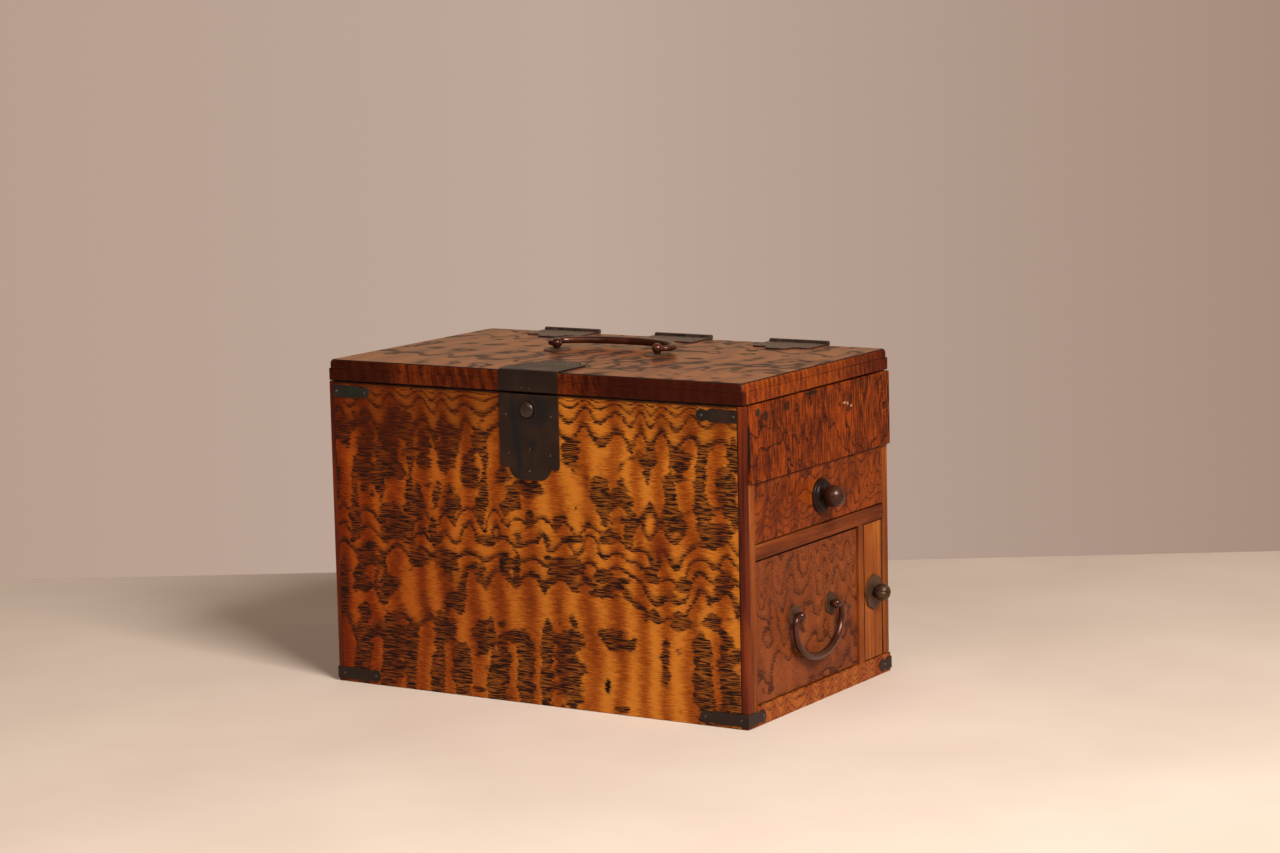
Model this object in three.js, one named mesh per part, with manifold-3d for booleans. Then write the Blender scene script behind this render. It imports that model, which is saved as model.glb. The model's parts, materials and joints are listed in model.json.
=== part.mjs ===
// Small lidded chest with three side drawers, iron lock plate, hinges and bails.
// Millimetres. X runs to the right along the front, the front faces -Y, Z is up.
// The origin is the centre of the footprint, on the surface that the chest stands on.
import * as THREE from 'three';
import { mergeVertices } from 'three/addons/utils/BufferGeometryUtils.js';
import ManifoldModule from 'manifold-3d';

const wasm = await ManifoldModule();
wasm.setup();

// Driving dimensions of the carcase
const chestLength = 320;
const frontPanelThickness = 5;
const frontBaseThickness = 7.3;
const largeOpeningWidth = 136.5;
const dividerThickness = 6.9;
const narrowOpeningWidth = 28.9;
const backThickness = 8;
const bottomThickness = 12.7;
const lowerOpeningHeight = 93.5;
const shelfThickness = 9.6;
const upperOpeningHeight = 39.7;
const compartmentHeight = 49.5;
const compartmentFloorThickness = 7;
const leftEndThickness = 9;
const sideBoardThickness = 8;
const bottomRailThickness = 12;
const rightStripWidth = 4.7;
const leftStripWidth = 3.6;
const sideBoardTopGap = 0.3;
const sideBoardProudFront = 1.7;
const sideBoardProudBack = 1.4;
const sideBoardProudTopBack = 1.1;
const backEndSetback = 1;

// Driving dimensions of the lid
const lidSeam = 0.4;
const lidCoreThickness = 8.3;
const lidTopThickness = 5.8;
const lidEdgeThickness = 3.9;
const lidRounding = 2.6;
const lidCornerRadius = 1.6;
const lidBackClearance = 0.3;

// Drawers
const drawerFrontThickness = 12;
const drawerSideThickness = 6;
const drawerBackThickness = 6;
const drawerBottomThickness = 4;
const drawerSideDrop = 3;
const drawerBackDrop = 5;
const drawerClearance = 0.4;
const drawerBackClearance = 1;
const upperFrontSetback = 0.8;
const largeFrontSetback = 1.5;
const narrowFrontSetback = 0.6;
const largeFrontTopGap = 1.1;
const narrowGapFront = 1.4;
const narrowGapBack = 2.8;

// Shared fits and finishes of the ironwork
const fitGap = 0.3;
const cutOverrun = 2;
const nailRadius = 1;
const nailHeight = 0.45;
const roundSteps = 12;
const nailSteps = 8;

// Lock plate, its case, the button and the latch
const lockCentreX = 0.4;
const lockPlateWidth = 45.8;
const lockPlateHeight = 55.8;
const lockPlateThickness = 1;
const lockPlateTopGap = 0.5;
const lobeLength = 7;
const shoulderRadius = 3.6;
const lobeHalfWidthShare = 0.71;
const lobeFlatShare = 0.33;
const caseWidth = 28;
const caseHeight = 40;
const caseWall = 0.8;
const buttonRadius = 5.5;
const buttonBulge = 2.6;
const buttonDrop = 10;
const buttonOffsetX = -1.1;
const buttonFlangeRadius = 7;
const buttonFlangeThickness = 1.2;
const buttonShaftRadius = 1.8;
const latchWidth = 9;
const latchThickness = 0.8;
const latchFootRise = 6;
const latchFootRadius = 1.3;
const latchNoseHeight = 2.4;
const latchTopDrop = 1.5;
const latchNoseLength = 1.6;

// Strap over the front edge of the lid, and the staple behind it
const strapWidth = 46;
const strapThickness = 1;
const strapReach = 46;
const strapFootGap = 0.9;
const stapleWidth = 15;
const stapleThickness = 1.2;
const stapleLegWidth = 2.6;
const stapleBarHeight = 2.4;
const stapleDrop = 7.4;
const stapleRise = 6.6;

// Hinges
const hingeSpacingShare = 0.28625;
const hingeWidth = 45.4;
const hingeCentreX = 0.4;
const leafThickness = 0.9;
const knuckleRadius = 1.8;
const pinRadius = 0.75;
const knuckleCount = 5;
const knuckleGap = 0.3;
const lidLeafReach = 33;
const bodyLeafLength = 44;
const leafLobeLength = 7.5;
const leafLobeHalfWidthShare = 0.46;
const leafLobeFlatShare = 0.16;
const leafShoulderRadius = 6;
const bodyLeafTopGap = 0.5;

// Top handle
const topHandleSpacingShare = 0.24875;
const topHandleCentreX = -3.8;
const topHandleCentreY = 5;
const topHandleEyeHeight = 4.7;
const topHandleReach = 29;
const topHandleOverhang = 7;
const topRodRadius = 2.35;
const topRodEndRadius = 1.5;
const topEyeRadius = 3.6;
const topRosetteRadius = 9;
const rosetteThickness = 1.1;

// Bail of the large drawer
const bailSpacing = 47.5;
const bailOffsetY = 6.55;
const bailRise = 2.05;
const bailEyeReach = 4.9;
const bailDrop = 30;
const bailOverhang = 7.4;
const bailRodRadius = 2.15;
const bailRodEndRadius = 1.4;
const bailEyeRadius = 3.3;
const bailRosetteRadius = 7.2;
const postNeckRadius = 1.9;
const postShankRadius = 1.3;
const postShankLength = 5;

// Turned knobs
const upperKnobOffsetY = 0.25;
const upperKnobDrop = 1.05;
const upperRosetteRadius = 11.4;
const upperRosetteThickness = 4;
const upperKnobRadius = 7.3;
const upperKnobReach = 17.2;
const narrowKnobOffsetY = -0.65;
const narrowKnobDrop = 0.95;
const narrowPlateRadius = 11.5;
const narrowPlateThickness = 1.2;
const narrowPlateLobes = 8;
const narrowPlateLobeShare = 0.035;
const narrowKnobRadius = 5.9;
const narrowKnobReach = 12.6;
const knobNeckRadius = 3.2;
const knobShankRadius = 1.9;
const knobShankLength = 9;
const knobSteps = 8;

// Corner plates
const cornerPlateThickness = 0.6;
const cornerPlateHeight = 8.2;
const cornerPlateRise = 1.9;
const cornerLegLength = 35.5;
const cornerSideLeg = 22;
const cornerBackLeg = 17;
const cornerNoseRadius = 4.3;
const cornerTopLeg = 29.4;
const cornerTopNoseRadius = 3.9;
const cornerTopDrop = 2.4;
const cornerNailInset = 5;

// Levels and faces that follow from the sizes above
const chestDepth = frontPanelThickness + frontBaseThickness + largeOpeningWidth
  + dividerThickness + narrowOpeningWidth + backThickness;
const rightX = chestLength / 2;
const leftX = -rightX;
const frontY = -chestDepth / 2;
const backY = chestDepth / 2;
const panelBackY = frontY + frontPanelThickness;
const innerFrontY = panelBackY + frontBaseThickness;
const innerBackY = backY - backThickness;
const innerLeftX = leftX + leftEndThickness;
const panelLeftX = leftX + leftStripWidth;
const panelRightX = rightX - rightStripWidth;
const sideBoardInnerX = rightX - sideBoardThickness;
const railBackX = rightX - bottomRailThickness;
const dividerFrontY = innerFrontY + largeOpeningWidth;
const dividerBackY = dividerFrontY + dividerThickness;
const shelfBottomZ = bottomThickness + lowerOpeningHeight;
const shelfTopZ = shelfBottomZ + shelfThickness;
const upperOpeningTopZ = shelfTopZ + upperOpeningHeight;
const bodyTopZ = upperOpeningTopZ + compartmentHeight;
const compartmentFloorZ = upperOpeningTopZ + compartmentFloorThickness;
const lidBottomZ = bodyTopZ + lidSeam;
const lidCoreTopZ = lidBottomZ + lidCoreThickness;
const lidTopZ = lidCoreTopZ + lidTopThickness;
const lidBackY = backY - lidBackClearance;
const lockTopZ = bodyTopZ - lockPlateTopGap;
const lockFaceY = frontY - lockPlateThickness;
const hingeAxisY = backY + knuckleRadius;
const hingeAxisZ = lidTopZ + leafThickness;
const topEyeZ = lidTopZ + topHandleEyeHeight;
const hingeSpacing = chestLength * hingeSpacingShare;
const topHandleSpacing = chestLength * topHandleSpacingShare;

// Each pull is set out from the middle of its own opening
const lowerMiddleZ = bottomThickness + lowerOpeningHeight / 2;
const bailCentreY = (innerFrontY + dividerFrontY) / 2 + bailOffsetY;
const bailHeight = lowerMiddleZ + bailRise;
const upperKnobY = (innerFrontY + innerBackY) / 2 + upperKnobOffsetY;
const upperKnobHeight = shelfTopZ + upperOpeningHeight / 2 - upperKnobDrop;
const narrowKnobY = (dividerBackY + innerBackY) / 2 + narrowKnobOffsetY;
const narrowKnobHeight = lowerMiddleZ - narrowKnobDrop;

// Materials
function finish(color, roughness, metalness) {
  return new THREE.MeshStandardMaterial({ color, roughness, metalness });
}

const figuredWood = finish('#a65a1e', 0.35, 0);
const sideWood = finish('#8c3f1a', 0.35, 0);
const darkWood = finish('#4a1f10', 0.35, 0);
const lidWood = finish('#6e3218', 0.3, 0);
const plainWood = finish('#b98a55', 0.7, 0);
const stileWood = finish('#a5622c', 0.45, 0);
const blackIron = finish('#2e221c', 0.55, 0.8);
const polishedIron = finish('#3a201a', 0.3, 0.9);

// Closed geometry to a solid and back
function toSolid(geometry) {
  const bare = geometry.index ? geometry.toNonIndexed() : geometry.clone();
  for (const attribute of Object.keys(bare.attributes)) {
    if (attribute !== 'position') bare.deleteAttribute(attribute);
  }
  const merged = mergeVertices(bare);
  return new wasm.Manifold(new wasm.Mesh({
    numProp: 3,
    vertProperties: new Float32Array(merged.attributes.position.array),
    triVerts: new Uint32Array(merged.index.array),
  }));
}

function toGeometry(solid) {
  const cut = solid.getMesh();
  const geometry = new THREE.BufferGeometry();
  geometry.setAttribute('position', new THREE.BufferAttribute(new Float32Array(cut.vertProperties), 3));
  geometry.setIndex(new THREE.BufferAttribute(new Uint32Array(cut.triVerts), 1));
  geometry.computeVertexNormals();
  return geometry;
}

const joined = (first, ...others) => others.reduce((sum, part) => sum.add(part), first);
const without = (first, ...others) => others.reduce((rest, part) => rest.subtract(part), first);

// Boxes between two corners
function boxGeometry(from, to) {
  const size = to.map((value, axis) => value - from[axis]);
  const middle = to.map((value, axis) => (value + from[axis]) / 2);
  return new THREE.BoxGeometry(...size).translate(...middle);
}

const boxSolid = (from, to) => toSolid(boxGeometry(from, to));

function board(name, material, from, to) {
  const size = to.map((value, axis) => value - from[axis]);
  const mesh = new THREE.Mesh(new THREE.BoxGeometry(...size), material.clone());
  mesh.name = name;
  mesh.position.set(...to.map((value, axis) => (value + from[axis]) / 2));
  return mesh;
}

function piece(name, material, shape) {
  const geometry = shape instanceof THREE.BufferGeometry ? shape : toGeometry(shape);
  const mesh = new THREE.Mesh(geometry, material.clone());
  mesh.name = name;
  return mesh;
}

// Outlines pushed along an axis: drawn in XZ for Y, in YZ for X, in XY for Z
const axisTurn = {
  x: new THREE.Matrix4().makeBasis(
    new THREE.Vector3(0, 1, 0), new THREE.Vector3(0, 0, 1), new THREE.Vector3(1, 0, 0)),
  y: new THREE.Matrix4().makeBasis(
    new THREE.Vector3(1, 0, 0), new THREE.Vector3(0, 0, 1), new THREE.Vector3(0, -1, 0)),
  z: new THREE.Matrix4(),
};

function pushed(outline, axis, from, to, curveSegments = roundSteps / 2) {
  const depth = to - from;
  const geometry = new THREE.ExtrudeGeometry(outline, { depth, bevelEnabled: false, curveSegments });
  geometry.applyMatrix4(axisTurn[axis]);
  const start = axis === 'y' ? to : from;
  const shift = { x: [start, 0, 0], y: [0, start, 0], z: [0, 0, start] }[axis];
  return geometry.translate(...shift);
}

const polygon = (points) => new THREE.Shape(points.map(([across, up]) => new THREE.Vector2(across, up)));

// A profile of [radius, reach] pairs turned round an axis, reach running along that axis
function turned(profile, axis, centre, segments = 2 * roundSteps) {
  const points = profile.map(([radius, reach]) => new THREE.Vector2(radius, reach));
  const geometry = new THREE.LatheGeometry(points, segments);
  const quarter = Math.PI / 2;
  if (axis === 'z') geometry.rotateX(quarter);
  if (axis === 'x') geometry.rotateZ(-quarter);
  if (axis === '-y') geometry.rotateX(2 * quarter);
  return geometry.translate(...centre);
}

function rod(radius, axis, centre, from, to, segments = roundSteps) {
  return toSolid(turned([[0, from], [radius, from], [radius, to], [0, to]], axis, centre, segments));
}

// Rings with equal numbers of points, counter-clockwise about their direction of travel
function lofted(rings) {
  const count = rings[0].length;
  const last = rings.length - 1;
  const positions = rings.flat().flatMap((point) => point.toArray());
  const index = [];
  for (let level = 0; level < last; level += 1) {
    for (let step = 0; step < count; step += 1) {
      const here = level * count + step;
      const next = level * count + (step + 1) % count;
      index.push(here, next, next + count, here, next + count, here + count);
    }
  }
  for (const level of [0, last]) {
    const middle = positions.length / 3;
    const centre = new THREE.Vector3();
    rings[level].forEach((point) => centre.add(point));
    positions.push(...centre.divideScalar(count).toArray());
    for (let step = 0; step < count; step += 1) {
      const here = level * count + step;
      const next = level * count + (step + 1) % count;
      index.push(middle, ...(level === 0 ? [next, here] : [here, next]));
    }
  }
  const geometry = new THREE.BufferGeometry();
  geometry.setAttribute('position', new THREE.Float32BufferAttribute(positions, 3));
  geometry.setIndex(index);
  geometry.computeVertexNormals();
  return geometry;
}

// A round rod along a curve, with a radius for each share of its length
function sweptRod(curve, radiusAt, steps, sides = roundSteps) {
  const frames = curve.computeFrenetFrames(steps, false);
  const rings = [];
  for (let step = 0; step <= steps; step += 1) {
    const share = step / steps;
    const centre = curve.getPointAt(share);
    const radius = radiusAt(share);
    const ring = [];
    for (let side = 0; side < sides; side += 1) {
      const angle = 2 * Math.PI * side / sides;
      ring.push(centre.clone()
        .addScaledVector(frames.normals[step], radius * Math.cos(angle))
        .addScaledVector(frames.binormals[step], radius * Math.sin(angle)));
    }
    rings.push(ring);
  }
  return lofted(rings);
}

// A ring of a rectangle with round corners at one level
function roundedRing(left, right, front, back, radius, level, cornerSteps = 3) {
  const ring = [];
  const corners = [[right - radius, back - radius], [left + radius, back - radius],
    [left + radius, front + radius], [right - radius, front + radius]];
  corners.forEach(([x, y], quarter) => {
    for (let step = 0; step <= cornerSteps; step += 1) {
      const angle = Math.PI / 2 * (quarter + step / cornerSteps);
      ring.push(new THREE.Vector3(x + radius * Math.cos(angle), y + radius * Math.sin(angle), level));
    }
  });
  return ring;
}

// A low domed nail head, standing on a face that looks along the axis
function nailHead(axis, centre, radius = nailRadius, height = nailHeight) {
  const rimShare = 0.45;
  const crownShare = 0.6;
  return toSolid(turned([[0, -height], [radius, -height], [radius, height * rimShare],
    [radius * crownShare, height], [0, height]], axis, centre, nailSteps));
}

// The lobed end of an iron leaf: round shoulders, two cusps and a middle lobe
function lobedLeaf(halfWidth, rootAt, tipAt, lobe, lobeHalf, flatHalf, shoulder) {
  const toTip = Math.sign(tipAt - rootAt);
  const shoulderAt = tipAt - toTip * lobe;
  const bowShare = 0.25;
  const outline = new THREE.Shape();
  outline.moveTo(-halfWidth, rootAt);
  outline.lineTo(-halfWidth, shoulderAt - toTip * shoulder);
  outline.quadraticCurveTo(-halfWidth, shoulderAt, -halfWidth + shoulder, shoulderAt);
  outline.lineTo(-lobeHalf, shoulderAt - toTip * lobe * bowShare / 2);
  outline.quadraticCurveTo(-lobeHalf + (lobeHalf - flatHalf) * bowShare, tipAt, -flatHalf, tipAt);
  outline.lineTo(flatHalf, tipAt);
  outline.quadraticCurveTo(lobeHalf - (lobeHalf - flatHalf) * bowShare, tipAt,
    lobeHalf, shoulderAt - toTip * lobe * bowShare / 2);
  outline.lineTo(halfWidth - shoulder, shoulderAt);
  outline.quadraticCurveTo(halfWidth, shoulderAt, halfWidth, shoulderAt - toTip * shoulder);
  outline.lineTo(halfWidth, rootAt);
  outline.closePath();
  return outline;
}

// The carcase
function frontPanel() {
  const panel = boxSolid([panelLeftX, frontY, 0], [panelRightX, panelBackY, bodyTopZ]);
  return piece('front_panel', figuredWood, without(panel, lockMortise()));
}

function cornerStrips() {
  return [
    board('front_corner_strip_left', darkWood, [leftX, frontY, 0], [panelLeftX, panelBackY, bodyTopZ]),
    board('front_corner_strip_right', darkWood, [panelRightX, frontY, 0], [rightX, panelBackY, bodyTopZ]),
  ];
}

function frontBaseBoard() {
  const outline = polygon([[leftX, 0], [rightX, 0], [rightX, upperOpeningTopZ],
    [sideBoardInnerX, upperOpeningTopZ], [sideBoardInnerX, bodyTopZ], [leftX, bodyTopZ]]);
  const solid = toSolid(pushed(outline, 'y', panelBackY, innerFrontY));
  return piece('front_base_board', stileWood, without(solid, lockMortise()));
}

function backBoard() {
  const endX = rightX - backEndSetback;
  const outline = polygon([
    [leftX, 0], [railBackX, 0], [railBackX, bottomThickness], [endX, bottomThickness],
    [endX, upperOpeningTopZ], [sideBoardInnerX, upperOpeningTopZ],
    [sideBoardInnerX, bodyTopZ], [leftX, bodyTopZ],
  ]);
  return piece('back_board', sideWood, pushed(outline, 'y', innerBackY, backY));
}

// The upper board of the right side has moved outwards along its lower edge
function upperSideBoard() {
  const geometry = boxGeometry(
    [sideBoardInnerX, panelBackY, upperOpeningTopZ],
    [rightX, backY, bodyTopZ - sideBoardTopGap],
  );
  const places = geometry.attributes.position;
  for (let corner = 0; corner < places.count; corner += 1) {
    const outer = places.getX(corner) > sideBoardInnerX + sideBoardThickness / 2;
    const atBack = places.getY(corner) > 0;
    const atTop = places.getZ(corner) > upperOpeningTopZ + compartmentHeight / 2;
    const proudTop = atBack ? sideBoardProudTopBack : 0;
    const proudBottom = atBack ? sideBoardProudBack : sideBoardProudFront;
    if (outer) places.setX(corner, rightX + (atTop ? proudTop : proudBottom));
  }
  geometry.computeVertexNormals();
  return piece('upper_side_board', sideWood, geometry);
}

function innerBoards() {
  return [
    board('left_end_board', sideWood,
      [leftX, innerFrontY, 0], [innerLeftX, innerBackY, bodyTopZ]),
    board('bottom_board', plainWood,
      [innerLeftX, innerFrontY, 0], [railBackX, innerBackY, bottomThickness]),
    board('bottom_rail', sideWood,
      [railBackX, innerFrontY, 0], [rightX, backY, bottomThickness]),
    board('drawer_shelf', sideWood,
      [innerLeftX, innerFrontY, shelfBottomZ], [rightX, innerBackY, shelfTopZ]),
    board('drawer_divider', stileWood,
      [innerLeftX, dividerFrontY, bottomThickness], [rightX, dividerBackY, shelfBottomZ]),
    board('compartment_floor', plainWood,
      [innerLeftX, innerFrontY, upperOpeningTopZ], [sideBoardInnerX, innerBackY, compartmentFloorZ]),
  ];
}

// The mortise for the lock case runs through the panel and the board behind it
function lockMortise() {
  const halfWidth = caseWidth / 2 + fitGap;
  return boxSolid([lockCentreX - halfWidth, frontY - cutOverrun, lockTopZ - caseHeight - fitGap],
    [lockCentreX + halfWidth, innerFrontY + cutOverrun, bodyTopZ + cutOverrun]);
}

// The lid
function staplePocket() {
  const halfWidth = stapleWidth / 2 + fitGap;
  return boxSolid(
    [lockCentreX - halfWidth, stapleFrontY - fitGap, lidBottomZ - cutOverrun],
    [lockCentreX + halfWidth, stapleBackY + fitGap, lidBottomZ + stapleRise + fitGap],
  );
}

function lidTopBoard() {
  const edgeSteps = 4;
  const rings = [roundedRing(leftX, rightX, frontY, lidBackY, lidCornerRadius, lidCoreTopZ)];
  for (let step = 0; step <= edgeSteps; step += 1) {
    const angle = Math.PI / 2 * step / edgeSteps;
    const inset = lidRounding * (1 - Math.cos(angle));
    rings.push(roundedRing(leftX + inset, rightX - inset, frontY + inset, lidBackY - inset,
      lidCornerRadius, lidTopZ - lidRounding * (1 - Math.sin(angle))));
  }
  const holes = postHoles(topPostCentres, 'z', lidTopThickness + cutOverrun);
  return piece('lid_top_board', lidWood, without(toSolid(lofted(rings)), ...holes));
}

function lidCore() {
  const core = boxSolid([leftX, frontY + lidEdgeThickness, lidBottomZ], [rightX, lidBackY, lidCoreTopZ]);
  return piece('lid_core_board', sideWood, without(core, staplePocket()));
}

function lidFrontEdge() {
  return board('lid_front_edge', darkWood,
    [leftX, frontY, lidBottomZ], [rightX, frontY + lidEdgeThickness, lidCoreTopZ]);
}

// The drawers: a front with its pull holes, two sides, a back and a bottom
function drawer(name, opening, gaps, setback, holes) {
  const frontX = rightX - setback;
  const boxFrontX = frontX - drawerFrontThickness;
  const boxBackX = innerLeftX + drawerBackClearance;
  const [nearY, farY] = [opening.near + gaps.near, opening.far - gaps.far];
  const [floorZ, topZ] = [opening.bottom + drawerClearance, opening.top - gaps.top];
  const baseZ = floorZ + drawerBottomThickness;
  const front = boxSolid([boxFrontX, nearY, floorZ], [frontX, farY, topZ]);
  return [
    piece(`${name}_front`, sideWood, without(front, ...holes)),
    board(`${name}_near_side`, plainWood,
      [boxBackX, nearY, baseZ], [boxFrontX, nearY + drawerSideThickness, topZ - drawerSideDrop]),
    board(`${name}_far_side`, plainWood,
      [boxBackX, farY - drawerSideThickness, baseZ], [boxFrontX, farY, topZ - drawerSideDrop]),
    board(`${name}_back`, plainWood, [boxBackX, nearY + drawerSideThickness, baseZ],
      [boxBackX + drawerBackThickness, farY - drawerSideThickness, topZ - drawerBackDrop]),
    board(`${name}_bottom`, plainWood, [boxBackX, nearY, floorZ], [boxFrontX, farY, baseZ]),
  ];
}

function drawers() {
  const evenGaps = { near: drawerClearance, far: drawerClearance, top: drawerClearance };
  const upper = { near: innerFrontY, far: innerBackY, bottom: shelfTopZ, top: upperOpeningTopZ };
  const large = { near: innerFrontY, far: dividerFrontY, bottom: bottomThickness, top: shelfBottomZ };
  const narrow = { near: dividerBackY, far: innerBackY, bottom: bottomThickness, top: shelfBottomZ };
  return [
    ...drawer('upper_drawer', upper, evenGaps, upperFrontSetback, [knobHole(upperKnobSeat)]),
    ...drawer('large_drawer', large, { ...evenGaps, top: largeFrontTopGap },
      largeFrontSetback, postHoles(bailPostCentres, 'x', postShankLength + fitGap)),
    ...drawer('narrow_drawer', narrow, { ...evenGaps, near: narrowGapFront, far: narrowGapBack },
      narrowFrontSetback, [knobHole(narrowKnobSeat)]),
  ];
}

// The lock: plate with its case, sprung button and latch leaf
const lockHalfWidth = lockPlateWidth / 2;
const buttonCentre = [lockCentreX + buttonOffsetX, lockFaceY, lockTopZ - buttonDrop];
const caseBackY = innerFrontY - fitGap;
const stapleFrontY = frontY + lidEdgeThickness + fitGap;
const stapleBackY = stapleFrontY + stapleThickness;
const latchFrontY = stapleBackY + fitGap + latchNoseLength;

const lockNailPlaces = (() => {
  const sideShare = 0.76;
  const lowSideShare = 0.7;
  const upperDropShare = 0.245;
  const lowDropShare = 0.7;
  const tipDropShare = 0.895;
  return [
    [-sideShare, upperDropShare], [sideShare, upperDropShare],
    [-lowSideShare, lowDropShare], [lowSideShare, lowDropShare], [0, tipDropShare],
  ].map(([across, down]) => [lockCentreX + across * lockHalfWidth, lockTopZ - down * lockPlateHeight]);
})();

function lockPlate() {
  const outline = lobedLeaf(lockHalfWidth, lockTopZ, lockTopZ - lockPlateHeight, lobeLength,
    lockHalfWidth * lobeHalfWidthShare, lockHalfWidth * lobeFlatShare, shoulderRadius);
  const plate = toSolid(pushed(outline, 'y', lockFaceY, frontY).translate(lockCentreX, 0, 0));
  const half = caseWidth / 2;
  const bottom = lockTopZ - caseHeight;
  const inner = half - caseWall;
  const shell = without(
    boxSolid([lockCentreX - half, frontY - lockPlateThickness / 2, bottom],
      [lockCentreX + half, caseBackY, lockTopZ]),
    boxSolid([lockCentreX - inner, frontY, bottom + caseWall],
      [lockCentreX + inner, caseBackY - caseWall, lockTopZ + cutOverrun]),
  );
  const holeRadius = buttonRadius + fitGap;
  const buttonHole = rod(holeRadius, '-y', buttonCentre, -cutOverrun - lockPlateThickness, cutOverrun);
  const heads = lockNailPlaces.map(([x, z]) => nailHead('-y', [x, lockFaceY, z]));
  return piece('lock_plate', blackIron, without(joined(plate, shell, ...heads), buttonHole));
}

function lockButton() {
  const crownShares = [[0.98, 0.25], [0.88, 0.55], [0.68, 0.8], [0.38, 0.95]];
  const flangeFront = -lockPlateThickness - fitGap;
  const flangeBack = flangeFront - buttonFlangeThickness;
  const shaftEnd = lockFaceY - latchFrontY + fitGap;
  const profile = [[0, shaftEnd], [buttonShaftRadius, shaftEnd], [buttonShaftRadius, flangeBack],
    [buttonFlangeRadius, flangeBack], [buttonFlangeRadius, flangeFront], [buttonRadius, flangeFront],
    ...[[1, 0], ...crownShares, [0, 1]].map(([out, up]) => [buttonRadius * out, buttonBulge * up])];
  return piece('lock_button', polishedIron, turned(profile, '-y', buttonCentre));
}

function latchLeaf() {
  const half = latchWidth / 2;
  const footZ = lockTopZ - caseHeight + latchFootRise;
  const topZ = lockTopZ - latchTopDrop;
  const backFaceY = latchFrontY + latchThickness;
  const leaf = boxSolid([lockCentreX - half, latchFrontY, footZ], [lockCentreX + half, backFaceY, topZ]);
  const footHalf = caseWidth / 2 - caseWall - fitGap;
  const foot = rod(latchFootRadius, 'x', [lockCentreX, backFaceY, footZ], -footHalf, footHalf);
  const noseTipY = stapleBackY + fitGap;
  const nose = polygon([[latchFrontY + latchThickness / 2, topZ], [noseTipY, topZ - latchNoseHeight],
    [latchFrontY + latchThickness / 2, topZ - latchNoseHeight]]);
  const wedge = toSolid(pushed(nose, 'x', -half, half).translate(lockCentreX, 0, 0));
  return piece('lock_latch', blackIron, joined(leaf, foot, wedge));
}

// The strap bends over the round front edge of the lid and ends in a lobed leaf on top
function lidStrap() {
  const footZ = lidBottomZ + strapFootGap;
  const reachY = frontY + strapReach;
  const bend = lidRounding + strapThickness;
  const outline = new THREE.Shape();
  outline.moveTo(frontY - strapThickness, footZ);
  outline.lineTo(frontY - strapThickness, lidTopZ + strapThickness - bend);
  outline.quadraticCurveTo(frontY - strapThickness, lidTopZ + strapThickness,
    frontY - strapThickness + bend, lidTopZ + strapThickness);
  outline.lineTo(reachY, lidTopZ + strapThickness);
  outline.lineTo(reachY, lidTopZ);
  outline.lineTo(frontY + lidRounding, lidTopZ);
  outline.quadraticCurveTo(frontY, lidTopZ, frontY, lidTopZ - lidRounding);
  outline.lineTo(frontY, footZ);
  outline.closePath();
  const halfWidth = strapWidth / 2;
  const bent = toSolid(pushed(outline, 'x', -halfWidth, halfWidth, roundSteps / 2));
  const plan = lobedLeaf(halfWidth, frontY - bend, reachY, lobeLength + shoulderRadius,
    halfWidth * lobeHalfWidthShare, halfWidth * lobeFlatShare, shoulderRadius);
  const cutter = toSolid(pushed(plan, 'z', footZ - cutOverrun, lidTopZ + bend));
  const nailShares = [[-0.6, 0.55], [0.6, 0.55], [0, 0.86]];
  const heads = nailShares.map(([across, along]) => nailHead('z',
    [across * halfWidth, frontY + along * strapReach, lidTopZ + strapThickness]));
  const shaped = joined(bent.intersect(cutter), ...heads);
  return piece('lid_strap', blackIron, shaped.translate([lockCentreX, 0, 0]));
}

function lockStaple() {
  const half = stapleWidth / 2;
  const bottom = lidBottomZ - stapleDrop;
  const plate = boxSolid([lockCentreX - half, stapleFrontY, bottom],
    [lockCentreX + half, stapleBackY, lidBottomZ + stapleRise]);
  const window = boxSolid(
    [lockCentreX - half + stapleLegWidth, stapleFrontY - cutOverrun, bottom + stapleBarHeight],
    [lockCentreX + half - stapleLegWidth, stapleBackY + cutOverrun, lidBottomZ]);
  return piece('lock_staple', blackIron, without(plate, window));
}

// Hinges: knuckles take turns between the body leaf, which holds the pin, and the lid leaf
const leafOutline = (rootAt, tipAt) => lobedLeaf(hingeWidth / 2, rootAt, tipAt, leafLobeLength,
  hingeWidth / 2 * leafLobeHalfWidthShare, hingeWidth / 2 * leafLobeFlatShare, leafShoulderRadius);

function knuckleSpans(ofBody) {
  const pitch = hingeWidth / knuckleCount;
  const spans = [];
  for (let place = 0; place < knuckleCount; place += 1) {
    const left = place * pitch - hingeWidth / 2 + (place > 0 ? knuckleGap / 2 : 0);
    const right = (place + 1) * pitch - hingeWidth / 2 - (place < knuckleCount - 1 ? knuckleGap / 2 : 0);
    if ((place % 2 === 0) === ofBody) spans.push([left, right]);
  }
  return spans;
}

const leafNails = (nailShares, face, axis, rootAt, tipAt) => nailShares.map(([across, along]) => {
  const x = across * hingeWidth / 2;
  const run = rootAt + along * (tipAt - rootAt);
  return nailHead(axis, axis === 'z' ? [x, run, face] : [x, face, run]);
});

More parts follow.
